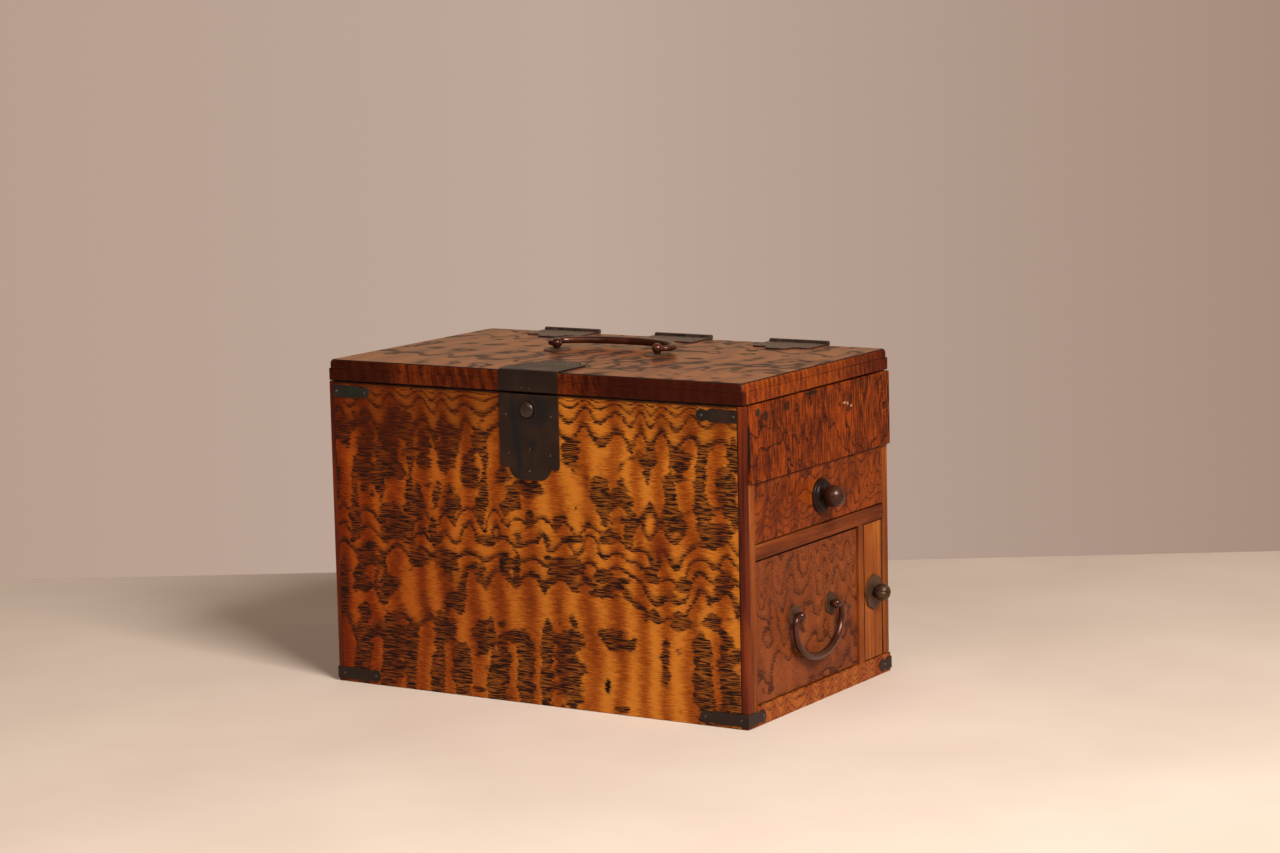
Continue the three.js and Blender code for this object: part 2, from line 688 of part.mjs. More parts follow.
function lidLeaf(name, centreX) {
  const rootY = lidBackY - knuckleGap;
  const tipY = lidBackY - lidLeafReach;
  const plate = toSolid(pushed(leafOutline(rootY, tipY), 'z', lidTopZ, lidTopZ + leafThickness));
  const parts = [];
  for (const [left, right] of knuckleSpans(false)) {
    parts.push(boxSolid([left, rootY - leafThickness, lidTopZ],
      [right, hingeAxisY, lidTopZ + leafThickness]));
    parts.push(rod(knuckleRadius, 'x', [0, hingeAxisY, hingeAxisZ], left, right));
  }
  const nailShares = [[-0.72, 0.35], [0.72, 0.35], [-0.66, 0.68], [0.66, 0.68], [0, 0.88]];
  const heads = leafNails(nailShares, lidTopZ + leafThickness, 'z', rootY, tipY);
  const bore = rod(pinRadius + fitGap, 'x', [0, hingeAxisY, hingeAxisZ], -hingeWidth, hingeWidth);
  const leaf = without(joined(plate, ...parts, ...heads), bore);
  return piece(name, blackIron, leaf.translate([centreX, 0, 0]));
}

function bodyLeaf(name, centreX) {
  const rootZ = hingeAxisZ - knuckleRadius - bodyLeafTopGap;
  const tipZ = rootZ - bodyLeafLength;
  const plate = toSolid(pushed(leafOutline(rootZ, tipZ), 'y', backY, backY + leafThickness));
  const parts = [rod(pinRadius, 'x', [0, hingeAxisY, hingeAxisZ], -hingeWidth / 2, hingeWidth / 2)];
  for (const [left, right] of knuckleSpans(true)) {
    parts.push(boxSolid([left, backY, rootZ - leafThickness], [right, backY + leafThickness, hingeAxisZ]));
    parts.push(rod(knuckleRadius, 'x', [0, hingeAxisY, hingeAxisZ], left, right));
  }
  return piece(name, blackIron, joined(plate, ...parts).translate([centreX, 0, 0]));
}

function hinges() {
  const places = [['left', -1], ['middle', 0], ['right', 1]];
  return places.map(([side, step]) => {
    const centreX = hingeCentreX + step * hingeSpacing;
    return {
      lid: lidLeaf(`hinge_lid_leaf_${side}`, centreX),
      body: bodyLeaf(`hinge_body_leaf_${side}`, centreX),
    };
  });
}

// Bails: each end turns inwards through the eye of its post, and the rod swells to its middle
function bailCurve(halfSpacing, overhang, reach) {
  const tipShare = 0.5;
  const bendShares = [[0.55, 0], [0.86, 0.04], [0.98, 0.125]];
  const widest = halfSpacing + overhang;
  const shoulderShare = 0.24;
  const shoulder = reach * shoulderShare;
  const half = [[halfSpacing - overhang * tipShare, 0], [halfSpacing, 0],
    ...bendShares.map(([out, along]) => [halfSpacing + overhang * out, reach * along])];
  const arcSteps = 5;
  for (let step = 0; step < arcSteps; step += 1) {
    const angle = Math.PI / 2 * step / arcSteps;
    half.push([widest * Math.cos(angle), shoulder + (reach - shoulder) * Math.sin(angle)]);
  }
  const mirrored = half.map(([across, along]) => [-across, along]).reverse();
  const places = [...half, [0, reach], ...mirrored];
  const points = places.map(([across, along]) => new THREE.Vector3(across, along, 0));
  return new THREE.CatmullRomCurve3(points, false, 'centripetal');
}

function bail(name, halfSpacing, overhang, reach, endRadius, middleRadius) {
  const curve = bailCurve(halfSpacing, overhang, reach);
  const bailSteps = 60;
  const plainEndShare = 0.07;
  const swellPower = 0.8;
  const swell = (share) => {
    const along = THREE.MathUtils.clamp((share - plainEndShare) / (1 - 2 * plainEndShare), 0, 1);
    return endRadius + (middleRadius - endRadius) * Math.sin(Math.PI * along) ** swellPower;
  };
  return piece(name, polishedIron, sweptRod(curve, swell, bailSteps, roundSteps));
}

// The profile of a ball from an angle off its foot to its tip on the axis
function ballProfile(radius, centreReach, startAngle, steps) {
  const profile = [];
  for (let step = 0; step < steps; step += 1) {
    const angle = startAngle + (Math.PI - startAngle) * step / steps;
    profile.push([radius * Math.sin(angle), centreReach - radius * Math.cos(angle)]);
  }
  return [...profile, [0, centreReach + radius]];
}

// A post with a ball head and an eye, its shank let into the wood, and the rosette under it
function postProfile(eyeHeight, eyeRadius) {
  return [
    [0, -postShankLength], [postShankRadius, -postShankLength],
    [postShankRadius, rosetteThickness], [postNeckRadius, rosetteThickness],
    ...ballProfile(eyeRadius, eyeHeight, Math.asin(postNeckRadius / eyeRadius), roundSteps / 2),
  ];
}

function rosetteProfile(radius) {
  const rimShare = 0.45;
  const hole = postShankRadius + fitGap;
  return [
    [hole, 0], [radius, 0], [radius, rosetteThickness * rimShare],
    [radius - rosetteThickness, rosetteThickness], [hole, rosetteThickness], [hole, 0],
  ];
}

const bailSeatX = rightX - largeFrontSetback;
const topPostCentres = [-1, 1].map((side) => (
  [topHandleCentreX + side * topHandleSpacing / 2, topHandleCentreY, lidTopZ]));
const bailPostCentres = [-1, 1].map((side) => (
  [bailSeatX, bailCentreY + side * bailSpacing / 2, bailHeight]));

function postHoles(centres, axis, depth) {
  return centres.map((centre) => rod(postShankRadius + fitGap, axis, centre, -depth, cutOverrun));
}

// The two posts and rosettes of a bail, each post with an eye for the end of the bail
function bailMounts(kind, names, centres, axis, eyeAxis, eyeReach, eyeRadius, rodRadius, rosetteRadius) {
  return centres.flatMap((centre, side) => {
    const eyeCentre = centre.map((place, index) => place + ('xyz'[index] === axis ? eyeReach : 0));
    const overrun = eyeRadius + cutOverrun;
    const eye = rod(rodRadius + fitGap, eyeAxis, eyeCentre, -overrun, overrun);
    const post = toSolid(turned(postProfile(eyeReach, eyeRadius), axis, centre));
    return [
      piece(`${kind}_post_${names[side]}`, polishedIron, without(post, eye)),
      piece(`${kind}_rosette_${names[side]}`, blackIron,
        turned(rosetteProfile(rosetteRadius), axis, centre)),
    ];
  });
}

function topHandle() {
  const mounts = bailMounts('top_handle', ['left', 'right'], topPostCentres, 'z', 'x',
    topHandleEyeHeight, topEyeRadius, topRodEndRadius, topRosetteRadius);
  const lyingBail = bail('top_handle_bail', topHandleSpacing / 2, topHandleOverhang, topHandleReach,
    topRodEndRadius, topRodRadius);
  lyingBail.position.set(topHandleCentreX, topHandleCentreY, topEyeZ);
  return [...mounts, lyingBail];
}

// The drawer's bail is drawn flat: its width goes to Y and its reach goes down
function drawerBail() {
  const mounts = bailMounts('drawer_bail', ['near', 'far'], bailPostCentres, 'x', 'y',
    bailEyeReach, bailEyeRadius, bailRodEndRadius, bailRosetteRadius);
  const hangingBail = bail('drawer_bail', bailSpacing / 2, bailOverhang, bailDrop,
    bailRodEndRadius, bailRodRadius);
  hangingBail.setRotationFromMatrix(new THREE.Matrix4().makeBasis(
    new THREE.Vector3(0, 1, 0), new THREE.Vector3(0, 0, -1), new THREE.Vector3(-1, 0, 0)));
  hangingBail.position.set(bailSeatX + bailEyeReach, bailCentreY, bailHeight);
  return [...mounts, hangingBail];
}

// Turned knobs, each with a shank through its plate into the drawer front
const upperKnobSeat = [rightX - upperFrontSetback, upperKnobY, upperKnobHeight];
const narrowKnobSeat = [rightX - narrowFrontSetback, narrowKnobY, narrowKnobHeight];
const knobHole = (seat) => rod(knobShankRadius + fitGap, 'x', seat, -knobShankLength - fitGap, cutOverrun);

function knob(name, seat, plateThickness, radius, reach) {
  const centreReach = reach - radius;
  const foot = centreReach - plateThickness;
  const baseRadius = Math.max(knobNeckRadius, Math.sqrt(Math.max(radius ** 2 - foot ** 2, 0)));
  const profile = [
    [0, -knobShankLength], [knobShankRadius, -knobShankLength],
    [knobShankRadius, plateThickness], [baseRadius, plateThickness],
    ...ballProfile(radius, centreReach, Math.asin(baseRadius / radius), knobSteps),
  ];
  return piece(name, polishedIron, turned(profile, 'x', seat));
}

function upperRosette() {
  const hole = knobShankRadius + fitGap;
  const stepShares = [[1, 0], [1, 0.4], [0.94, 0.55], [0.8, 0.6], [0.76, 0.9], [0.7, 1]];
  const outer = stepShares.map(([out, up]) => [upperRosetteRadius * out, upperRosetteThickness * up]);
  const profile = [[hole, 0], ...outer, [hole, upperRosetteThickness], [hole, 0]];
  return piece('upper_knob_rosette', polishedIron, turned(profile, 'x', upperKnobSeat));
}

function narrowPlate() {
  const [seatX, seatY, seatZ] = narrowKnobSeat;
  const stepsPerLobe = 6;
  const rimSteps = stepsPerLobe * narrowPlateLobes;
  const rim = Array.from({ length: rimSteps }, (_, step) => {
    const angle = 2 * Math.PI * step / rimSteps;
    const radius = narrowPlateRadius * (1 + narrowPlateLobeShare * Math.cos(narrowPlateLobes * angle));
    return [seatY + radius * Math.cos(angle), seatZ + radius * Math.sin(angle)];
  });
  const plate = toSolid(pushed(polygon(rim), 'x', seatX, seatX + narrowPlateThickness));
  const holeTop = narrowPlateThickness + cutOverrun;
  const hole = rod(knobShankRadius + fitGap, 'x', narrowKnobSeat, -cutOverrun, holeTop);
  return piece('narrow_knob_plate', blackIron, without(plate, hole));
}

// Corner plates: a leg has a straight body, a notch and a round nose
function legOutline(corner, direction, length, noseRadius, bottomZ) {
  const middle = cornerPlateHeight / 2;
  const noseCentre = length - noseRadius;
  const bodyEndShare = 1.45;
  const notchShare = 0.16;
  const noseSweepShare = 0.69;
  const noseSweep = Math.PI * noseSweepShare;
  const bodyEnd = noseCentre - noseRadius * bodyEndShare;
  const notch = cornerPlateHeight * notchShare;
  const arc = [];
  for (let step = 0; step <= roundSteps; step += 1) {
    const angle = noseSweep * (2 * step / roundSteps - 1);
    arc.push([noseCentre + noseRadius * Math.cos(angle), middle + noseRadius * Math.sin(angle)]);
  }
  const half = [[0, 0], [bodyEnd, 0], [bodyEnd + notch, notch]];
  const mirrored = half.map(([along, up]) => [along, cornerPlateHeight - up]).reverse();
  const outline = [...half, ...arc, ...mirrored];
  return polygon(outline.map(([along, up]) => [corner + direction * along, bottomZ + up]));
}

const topCornerZ = bodyTopZ - cornerTopDrop - cornerPlateHeight;

function topCornerPlate(name, corner, direction) {
  const outline = legOutline(corner, direction, cornerTopLeg, cornerTopNoseRadius, topCornerZ);
  const plate = toSolid(pushed(outline, 'y', frontY - cornerPlateThickness, frontY));
  const nailZ = topCornerZ + cornerPlateHeight / 2;
  const heads = [cornerNailInset / 2, cornerTopLeg - cornerTopNoseRadius].map((along) => nailHead('-y',
    [corner + direction * along, frontY - cornerPlateThickness, nailZ]));
  return piece(name, blackIron, joined(plate, ...heads));
}

// A bent plate round a lower corner: a leg on a face across Y and a leg on a face across X
function bentCornerPlate(name, cornerX, cornerY, acrossLength, sideLength) {
  const [towardsX, towardsY] = [-Math.sign(cornerX), -Math.sign(cornerY)];
  const [outX, outY] = [-towardsX * cornerPlateThickness, -towardsY * cornerPlateThickness];
  const nailZ = cornerPlateRise + cornerPlateHeight / 2;
  const across = legOutline(cornerX + outX, towardsX, acrossLength, cornerNoseRadius, cornerPlateRise);
  const side = legOutline(cornerY + outY, towardsY, sideLength, cornerNoseRadius, cornerPlateRise);
  const legs = [
    toSolid(pushed(across, 'y', Math.min(cornerY, cornerY + outY), Math.max(cornerY, cornerY + outY))),
    toSolid(pushed(side, 'x', Math.min(cornerX, cornerX + outX), Math.max(cornerX, cornerX + outX))),
  ];
  const nailsAlong = cornerY < 0 ? [cornerNailInset, acrossLength - cornerNoseRadius] : [];
  const heads = nailsAlong.map((along) => nailHead('-y',
    [cornerX + towardsX * along, cornerY + outY, nailZ]));
  return piece(name, blackIron, joined(...legs, ...heads));
}

function cornerPlates() {
  return [
    topCornerPlate('corner_plate_top_left', leftX + leftStripWidth, 1),
    topCornerPlate('corner_plate_top_right', rightX - rightStripWidth, -1),
    bentCornerPlate('corner_plate_front_left', leftX, frontY, cornerLegLength, cornerSideLeg),
    bentCornerPlate('corner_plate_front_right', rightX, frontY, cornerLegLength, cornerSideLeg),
    bentCornerPlate('corner_plate_back_right', rightX, backY, cornerSideLeg, cornerBackLeg),
  ];
}

// The assembly
const carcase = new THREE.Group();
const lid = new THREE.Group();
const drawerStack = new THREE.Group();
const hingePairs = hinges();

carcase.add(frontPanel(), ...cornerStrips(), frontBaseBoard(), backBoard(), upperSideBoard());
carcase.add(...innerBoards(), ...cornerPlates(), ...hingePairs.map((pair) => pair.body));
carcase.add(lockPlate(), lockButton(), latchLeaf());
lid.add(lidTopBoard(), lidCore(), lidFrontEdge(), lidStrap(), lockStaple());
lid.add(...hingePairs.map((pair) => pair.lid), ...topHandle());
drawerStack.add(...drawers(), ...drawerBail(), upperRosette(), narrowPlate());
drawerStack.add(
  knob('upper_knob', upperKnobSeat, upperRosetteThickness, upperKnobRadius, upperKnobReach),
  knob('narrow_knob', narrowKnobSeat, narrowPlateThickness, narrowKnobRadius, narrowKnobReach),
);

const chest = new THREE.Group();
chest.name = 'lidded_chest_with_side_drawers';
chest.add(carcase, lid, drawerStack);

export default chest;
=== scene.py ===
"""A small lidded chest of figured zelkova, with iron fittings and three drawers in its right end."""

import json
import math
import random

import bmesh
import bpy
from mathutils import Matrix, Vector

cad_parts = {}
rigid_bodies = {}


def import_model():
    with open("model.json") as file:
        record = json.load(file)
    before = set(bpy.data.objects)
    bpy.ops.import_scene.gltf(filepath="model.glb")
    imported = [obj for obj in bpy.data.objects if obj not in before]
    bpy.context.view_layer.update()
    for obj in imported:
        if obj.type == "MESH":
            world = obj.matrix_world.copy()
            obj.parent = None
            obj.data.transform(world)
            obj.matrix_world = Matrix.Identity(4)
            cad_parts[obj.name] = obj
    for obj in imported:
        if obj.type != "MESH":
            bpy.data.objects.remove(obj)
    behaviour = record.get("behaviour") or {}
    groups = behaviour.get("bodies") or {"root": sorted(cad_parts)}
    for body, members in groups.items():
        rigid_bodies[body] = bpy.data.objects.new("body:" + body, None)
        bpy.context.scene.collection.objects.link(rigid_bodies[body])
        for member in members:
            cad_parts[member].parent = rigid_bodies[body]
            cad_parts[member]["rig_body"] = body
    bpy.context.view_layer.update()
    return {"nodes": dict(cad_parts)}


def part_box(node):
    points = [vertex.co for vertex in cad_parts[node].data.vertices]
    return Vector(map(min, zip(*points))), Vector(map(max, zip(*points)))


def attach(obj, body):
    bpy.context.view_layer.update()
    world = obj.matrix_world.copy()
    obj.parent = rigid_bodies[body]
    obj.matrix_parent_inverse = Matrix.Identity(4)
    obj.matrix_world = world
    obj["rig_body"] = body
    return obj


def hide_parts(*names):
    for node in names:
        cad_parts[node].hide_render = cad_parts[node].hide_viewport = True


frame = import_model()

MM = 0.001
RIGHT = Vector((1, 0, 0))
FRONT = Vector((0, -1, 0))
UP = Vector((0, 0, 1))
nodes = frame["nodes"]

# Sockets of a Mix node that mixes colours: the two that go in, and the one that comes out
FIRST, SECOND, MIXED = 6, 7, 2


# Colours, nodes and finished pieces
def linear(hex_colour):
    """An sRGB hex colour as linear RGBA."""
    channels = [int(hex_colour[at:at + 2], 16) / 255 for at in (1, 3, 5)]
    return tuple(c / 12.92 if c <= 0.04045 else ((c + 0.055) / 1.055) ** 2.4 for c in channels) + (1,)


def add(tree, kind, inputs, output=0, stops=(), line=(), **settings):
    """Adds a node with its settings and links, and returns one of its outputs.

    A setting given as a dictionary is set part by part. stops are a colour ramp's places, each
    with a grey from 0 to 1 or a hex colour. line is the points of a curve, from 0 to 1.
    """
    node = tree.nodes.new(kind)
    for name, value in settings.items():
        if isinstance(value, dict):
            for part, amount in value.items():
                setattr(getattr(node, name), part, amount)
        else:
            setattr(node, name, value)
    if stops:
        elements = node.color_ramp.elements
        for _ in stops[2:]:
            elements.new(0.5)
        for element, (place, shade) in zip(elements, stops):
            element.position = place
            element.color = linear(shade) if isinstance(shade, str) else (shade, shade, shade, 1)
    if line:
        curve = node.mapping.curves[0]
        for _ in line[2:]:
            curve.points.new(0.5, 0.5)
        for point, place in zip(curve.points, line):
            point.location = place
        node.mapping.update()
    for socket, value in inputs.items():
        if isinstance(value, bpy.types.NodeSocket):
            tree.links.new(value, node.inputs[socket])
        else:
            node.inputs[socket].default_value = value
    return node.outputs[output]


def new_material(name):
    """A material with an empty tree, its output node, and Object coordinates in millimetres."""
    material = bpy.data.materials.new(name)
    material.use_nodes = True
    tree = material.node_tree
    tree.nodes.clear()
    end = tree.nodes.new("ShaderNodeOutputMaterial")
    place = add(tree, "ShaderNodeTexCoord", {}, "Object")
    points = add(tree, "ShaderNodeVectorMath", {0: place, "Scale": 1 / MM}, operation="SCALE")
    return material, tree, end, points


def ease(bm, edges, offset, segments, clamp=False):
    """Rounds edges over by an offset in millimetres."""
    bmesh.ops.bevel(bm, geom=edges, offset=offset * MM, offset_type="OFFSET", segments=segments,
                    profile=0.5, affect="EDGES", material=-1, clamp_overlap=clamp)


def finish_piece(name, bm, material, body, replaced=(), smooth_angle=35, weighted=False):
    """Makes the object of a bmesh, with its finish, body and slot."""
    bmesh.ops.recalc_face_normals(bm, faces=bm.faces)
    mesh = bpy.data.meshes.new(name)
    bm.to_mesh(mesh)
    bm.free()
    mesh.materials.append(material)
    mesh.shade_smooth()
    mesh.set_sharp_from_angle(angle=math.radians(smooth_angle))
    piece = bpy.data.objects.new(name, mesh)
    bpy.context.scene.collection.objects.link(piece)
    if weighted:
        piece.modifiers.new("even shading", "WEIGHTED_NORMAL").keep_sharp = True
    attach(piece, body)
    if replaced:
        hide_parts(*replaced)
    return piece


# Camera, floor and light
camera_place = Vector((1158.6, -1816.9, 487.3)) * MM
camera_aim = Vector((24.34, 0, 171.77)) * MM
camera_roll = math.radians(-1.2428)
sight = (camera_aim - camera_place).normalized()
across = sight.cross(UP).normalized()
upward = across.cross(sight)
turned_across = across * math.cos(camera_roll) + upward * math.sin(camera_roll)
turned_upward = upward * math.cos(camera_roll) - across * math.sin(camera_roll)
camera_data = bpy.data.cameras.new("camera")
camera_data.sensor_width = 36
camera_data.lens = 91.42
camera = bpy.data.objects.new("camera", camera_data)
camera.matrix_world = Matrix.Translation(camera_place) @ Matrix(
    (turned_across, turned_upward, -sight)).transposed().to_4x4()
bpy.context.scene.collection.objects.link(camera)
bpy.context.scene.camera = camera

# The far edge of the table runs through these two points
edge_left = Vector((-609, 101, 0)) * MM
edge_right = Vector((42, 513, 0)) * MM
edge_way = (edge_right - edge_left).normalized()
floor_size = 6000
floor_thickness = 30
floor_rounding = 20


def lay_floor():
    """A plain cloth-covered table whose far edge shows behind the chest."""
    bm = bmesh.new()
    towards = Vector((edge_way.y, -edge_way.x, 0))
    size = Vector((floor_size, floor_size, floor_thickness)) * MM
    centre = (edge_left + edge_right) / 2 + towards * size.x / 2 - UP * size.z / 2
    axes = Matrix((edge_way, -towards, UP)).transposed().to_4x4()
    place = Matrix.Translation(centre) @ axes @ Matrix.Diagonal(size).to_4x4()
    bmesh.ops.create_cube(bm, size=1, matrix=place)
    top_edges = [e for e in bm.edges if all(v.co.z > -size.z / 4 for v in e.verts)]
    ease(bm, top_edges, floor_rounding, segments=6)
    mesh = bpy.data.meshes.new("floor")
    bm.to_mesh(mesh)
    bm.free()
    material, tree, end, points = new_material("plain cotton floor cloth")
    # Woven cotton, washed and pressed: matt and pale, with a faint unevenness and no sheen
    clouds = add(tree, "ShaderNodeTexNoise", {"Vector": points, "Scale": 0.006, "Detail": 3})
    tone = add(tree, "ShaderNodeValToRGB", {"Fac": clouds}, stops=[(0.3, "#DEC7B3"), (0.7, "#E8D2BE")])
    surface = add(tree, "ShaderNodeBsdfPrincipled", {"Base Color": tone, "Roughness": 0.95})
    tree.links.new(surface, end.inputs["Surface"])
    mesh.materials.append(material)
    floor = bpy.data.objects.new("floor", mesh)
    bpy.context.scene.collection.objects.link(floor)


def set_light(name, place, aim, size, watts, spread):
    """A square soft box with a grid, which keeps the floor under it from burning out."""
    data = bpy.data.lights.new(name, "AREA")
    data.size = size
    data.energy = watts
    data.spread = math.radians(spread)
    light = bpy.data.objects.new(name, data)
    light.location = Vector(place)
    light.rotation_euler = (Vector(aim) - Vector(place)).to_track_quat("-Z", "Y").to_euler()
    bpy.context.scene.collection.objects.link(light)


def light_room():
    """A pale studio: the world stands for its wall, and three soft boxes light the chest."""
    world = bpy.data.worlds.new("studio")
    bpy.context.scene.world = world
    world.use_nodes = True
    tree = world.node_tree
    tree.nodes.clear()
    end = tree.nodes.new("ShaderNodeOutputWorld")
    rays = tree.nodes.new("ShaderNodeLightPath")
    way = add(tree, "ShaderNodeTexCoord", {}, "Generated")

    # What the camera sees: a wall that darkens a little towards the right
    sideways = add(tree, "ShaderNodeVectorMath", {0: way, 1: across}, "Value", operation="DOT_PRODUCT")
    fall = add(tree, "ShaderNodeMapRange", {"Value": sideways, "From Min": -0.2, "From Max": 0.2})
    wall_colour = add(tree, "ShaderNodeValToRGB", {"Fac": fall},
                      stops=[(0.0, "#B89E8F"), (0.45, "#BEA89A"), (1.0, "#A68C7D")])
    wall = add(tree, "ShaderNodeBackground", {"Color": wall_colour, "Strength": 1.0})

    # What iron and varnish mirror: the same wall behind the chest, and a dim room in front of it
    towards_wall = add(tree, "ShaderNodeSeparateXYZ", {0: way}, "Y")
    lit = add(tree, "ShaderNodeMapRange", {"Value": towards_wall, "From Min": -0.3, "From Max": 0.4})
    room = add(tree, "ShaderNodeMix", {"Factor": lit, FIRST: linear("#3A322E"), SECOND: linear("#BA9877")},
               MIXED, data_type="RGBA")
    mirrored = add(tree, "ShaderNodeBackground", {"Color": room, "Strength": 1.0})

    # What lights the chest from all round
    ambient = add(tree, "ShaderNodeBackground", {"Color": linear("#FFDEC4"), "Strength": 0.15})
    both = add(tree, "ShaderNodeMixShader", {0: rays.outputs["Is Glossy Ray"], 1: ambient, 2: mirrored})
    both = add(tree, "ShaderNodeMixShader", {0: rays.outputs["Is Camera Ray"], 1: both, 2: wall})
    tree.links.new(both, end.inputs["Surface"])

    set_light("key", (1.3, -0.7, 1.25), (-0.05, -0.2, 0.05), size=0.7, watts=27.5, spread=150)
    set_light("fill", (0.1, -1.75, 1.15), (-0.1, -0.4, 0), size=1.0, watts=3.4, spread=125)
    set_light("back", (-0.9, 1.5, 1.9), (0, 0, 0.2), size=1.6, watts=1.8, spread=110)


lay_floor()
light_room()
bpy.context.scene.view_settings.view_transform = "Standard"


# Wood
def round_patch(centre, reach):
    """Settings that lay a spherical gradient over a patch, in millimetres along and across the grain.

    It is one at the patch's centre, a half at its rim and nothing at twice its reach.
    """
    return {"gradient_type": "SPHERICAL", "texture_mapping": {
        "scale": (0.5 / reach[0], 0.5 / reach[1], 0),
        "translation": (-0.5 * centre[0] / reach[0], -0.5 * centre[1] / reach[1], 0)}}


def figured_wood(name, axes, crests, levels, tones, swells=(), patches=(), marks=(), broad=(75, 34, 80),
                 broad_rings=0.5, drift=0.5, ragged=9.0, width=0.3, crisp=0.3, dash=(7, 0.5), gloss=0.0,
                 shift=0.0, slant=0.0, ripple_sheen=0.12,
                 grain_shares=(((5, 0.6, 6), 0.75), ((0.9, 0.7, 0.9), 0.35), ((70, 55, 90), 0.5))):
    """Ring-porous wood with rippled rings, sawn flat and varnished.

    Where a growth ring lies level with the surface, its row of open vessels shows as a dark
    patch of fine lines along the grain; ripples in the rings break the patches into columns.

    Places and lengths are in millimetres: along the grain, across it and through the board.
    axes: the object's axes in that order
    crests: the places of the ripples along the grain
    levels: a place across the grain, the ring number there, and the ripples' height in rings
    tones: the ground's three colours, the early wood's and the vessels', and where it is given a
        colour that the ground is multiplied by at its far end, with the places between which it fades in
    swells, patches, marks: a centre and a reach, then the rings that a swell lifts, or a mark's
        strength and colour; a patch is where a ring lies level
    broad, broad_rings: the lengths of slow swells, and their lift in rings
    drift, ragged: how far the ripples wander, in ripples, and the ends of the vessels, in millimetres
    width, crisp: the share of a ring that has open vessels, and the share of that where they crowd
    dash: the length and width of a vessel line
    grain_shares: the lengths of each pattern in the ground, and its share in the tone
    shift, slant, ripple_sheen: the part of the noise, the lean of the streaks, the sheen of the ripples
    """
    material, tree, end, points = new_material(name)
    split = add(tree, "ShaderNodeSeparateXYZ", {0: points}).node
    along, over, depth = (split.outputs["XYZ".index(axis)] for axis in axes)
    face = add(tree, "ShaderNodeCombineXYZ", {0: along, 1: over, 2: depth})
    leaned = add(tree, "ShaderNodeMath", {0: over, 1: slant, 2: along}, operation="MULTIPLY_ADD")
    streaks = add(tree, "ShaderNodeCombineXYZ", {0: leaned, 1: over, 2: depth})

    def at_size(place, lengths, turn):
        """What a Mapping node needs to lay a noise at its lengths, away from the other noises."""
        return {"Vector": place, "Location": (shift + turn, shift * 0.7, shift * 1.3 + turn),
                "Scale": tuple(1 / length for length in lengths)}

    # Each vessel ends a little before or after its neighbours
    spread = add(tree, "ShaderNodeMapping", at_size(face, (30, 0.7, 30), 3.0))
    ends = add(tree, "ShaderNodeTexNoise", {"Vector": spread, "Scale": 1.0, "Detail": 2.0})
    ends = add(tree, "ShaderNodeMath", {0: ends, 1: -0.5}, operation="ADD")
    drawn = add(tree, "ShaderNodeMath", {0: ends, 1: ragged, 2: along}, operation="MULTIPLY_ADD")
    grain = add(tree, "ShaderNodeCombineXYZ", {0: drawn, 1: over, 2: depth})

    # The number of ripples, their height and the ring number are each read off a smooth line
    read = {}
    for feature, value, given in (
            ("ripples", drawn, [(place, count) for count, place in enumerate(crests)]),
            ("height", over, [(place, lift) for place, _, lift in levels]),
            ("rings", over, [(place, ring) for place, ring, _ in levels])):
        low, high = given[0][0], given[-1][0]
        least, most = min(amount for _, amount in given), max(amount for _, amount in given)
        line = [((place - low) / (high - low), (amount - least) / ((most - least) or 1))
                for place, amount in given]
        share = add(tree, "ShaderNodeMapRange", {"Value": value, "From Min": low, "From Max": high})
        share = add(tree, "ShaderNodeFloatCurve", {"Value": share}, line=line)
        read[feature] = add(tree, "ShaderNodeMapRange", {"Value": share, "To Min": least, "To Max": most})

    # Ripples: they wander, and are livelier in some places than in others
    spread = add(tree, "ShaderNodeMapping", at_size(grain, (60, 60, 90), 7.0))
    wander = add(tree, "ShaderNodeTexNoise", {"Vector": spread, "Scale": 1.0, "Detail": 1.0})
    turns = add(tree, "ShaderNodeMath", {0: wander, 1: drift, 2: read["ripples"]}, operation="MULTIPLY_ADD")
    angle = add(tree, "ShaderNodeMath", {0: turns, 1: 2 * math.pi}, operation="MULTIPLY")
    wave = add(tree, "ShaderNodeMath", {0: angle}, operation="COSINE")
    spread = add(tree, "ShaderNodeMapping", at_size(grain, (22, 26, 40), 5.0))
    lively = add(tree, "ShaderNodeTexNoise", {"Vector": spread, "Scale": 1.0, "Detail": 1.0})
    lively = add(tree, "ShaderNodeMapRange", {
        "Value": lively, "From Min": 0.25, "From Max": 0.75, "To Min": 0.2, "To Max": 1.8})
    height = add(tree, "ShaderNodeMath", {0: read["height"], 1: lively}, operation="MULTIPLY")
    rings = add(tree, "ShaderNodeMath", {0: wave, 1: height, 2: read["rings"]}, operation="MULTIPLY_ADD")

    # Ring number at each place: slow swells, the board's depth, and the swells that are given
    spread = add(tree, "ShaderNodeMapping", at_size(grain, broad, 11.0))
    slow = add(tree, "ShaderNodeTexNoise", {"Vector": spread, "Scale": 1.0, "Detail": 2.0})
    slow = add(tree, "ShaderNodeMath", {0: slow, 1: -0.5}, operation="ADD")
    rings = add(tree, "ShaderNodeMath", {0: slow, 1: broad_rings, 2: rings}, operation="MULTIPLY_ADD")
    rings = add(tree, "ShaderNodeMath", {0: depth, 1: 0.02, 2: rings}, operation="MULTIPLY_ADD")
    for centre_along, centre_over, reach_along, reach_over, lift in swells:
        near = add(tree, "ShaderNodeTexGradient", {"Vector": grain}, "Fac",
                   **round_patch((centre_along, centre_over), (reach_along, reach_over)))
        near = add(tree, "ShaderNodeMapRange", {"Value": near, "From Min": 0.2, "From Max": 0.75},
                   interpolation_type="SMOOTHSTEP")
        rings = add(tree, "ShaderNodeMath", {0: near, 1: lift, 2: rings}, operation="MULTIPLY_ADD")

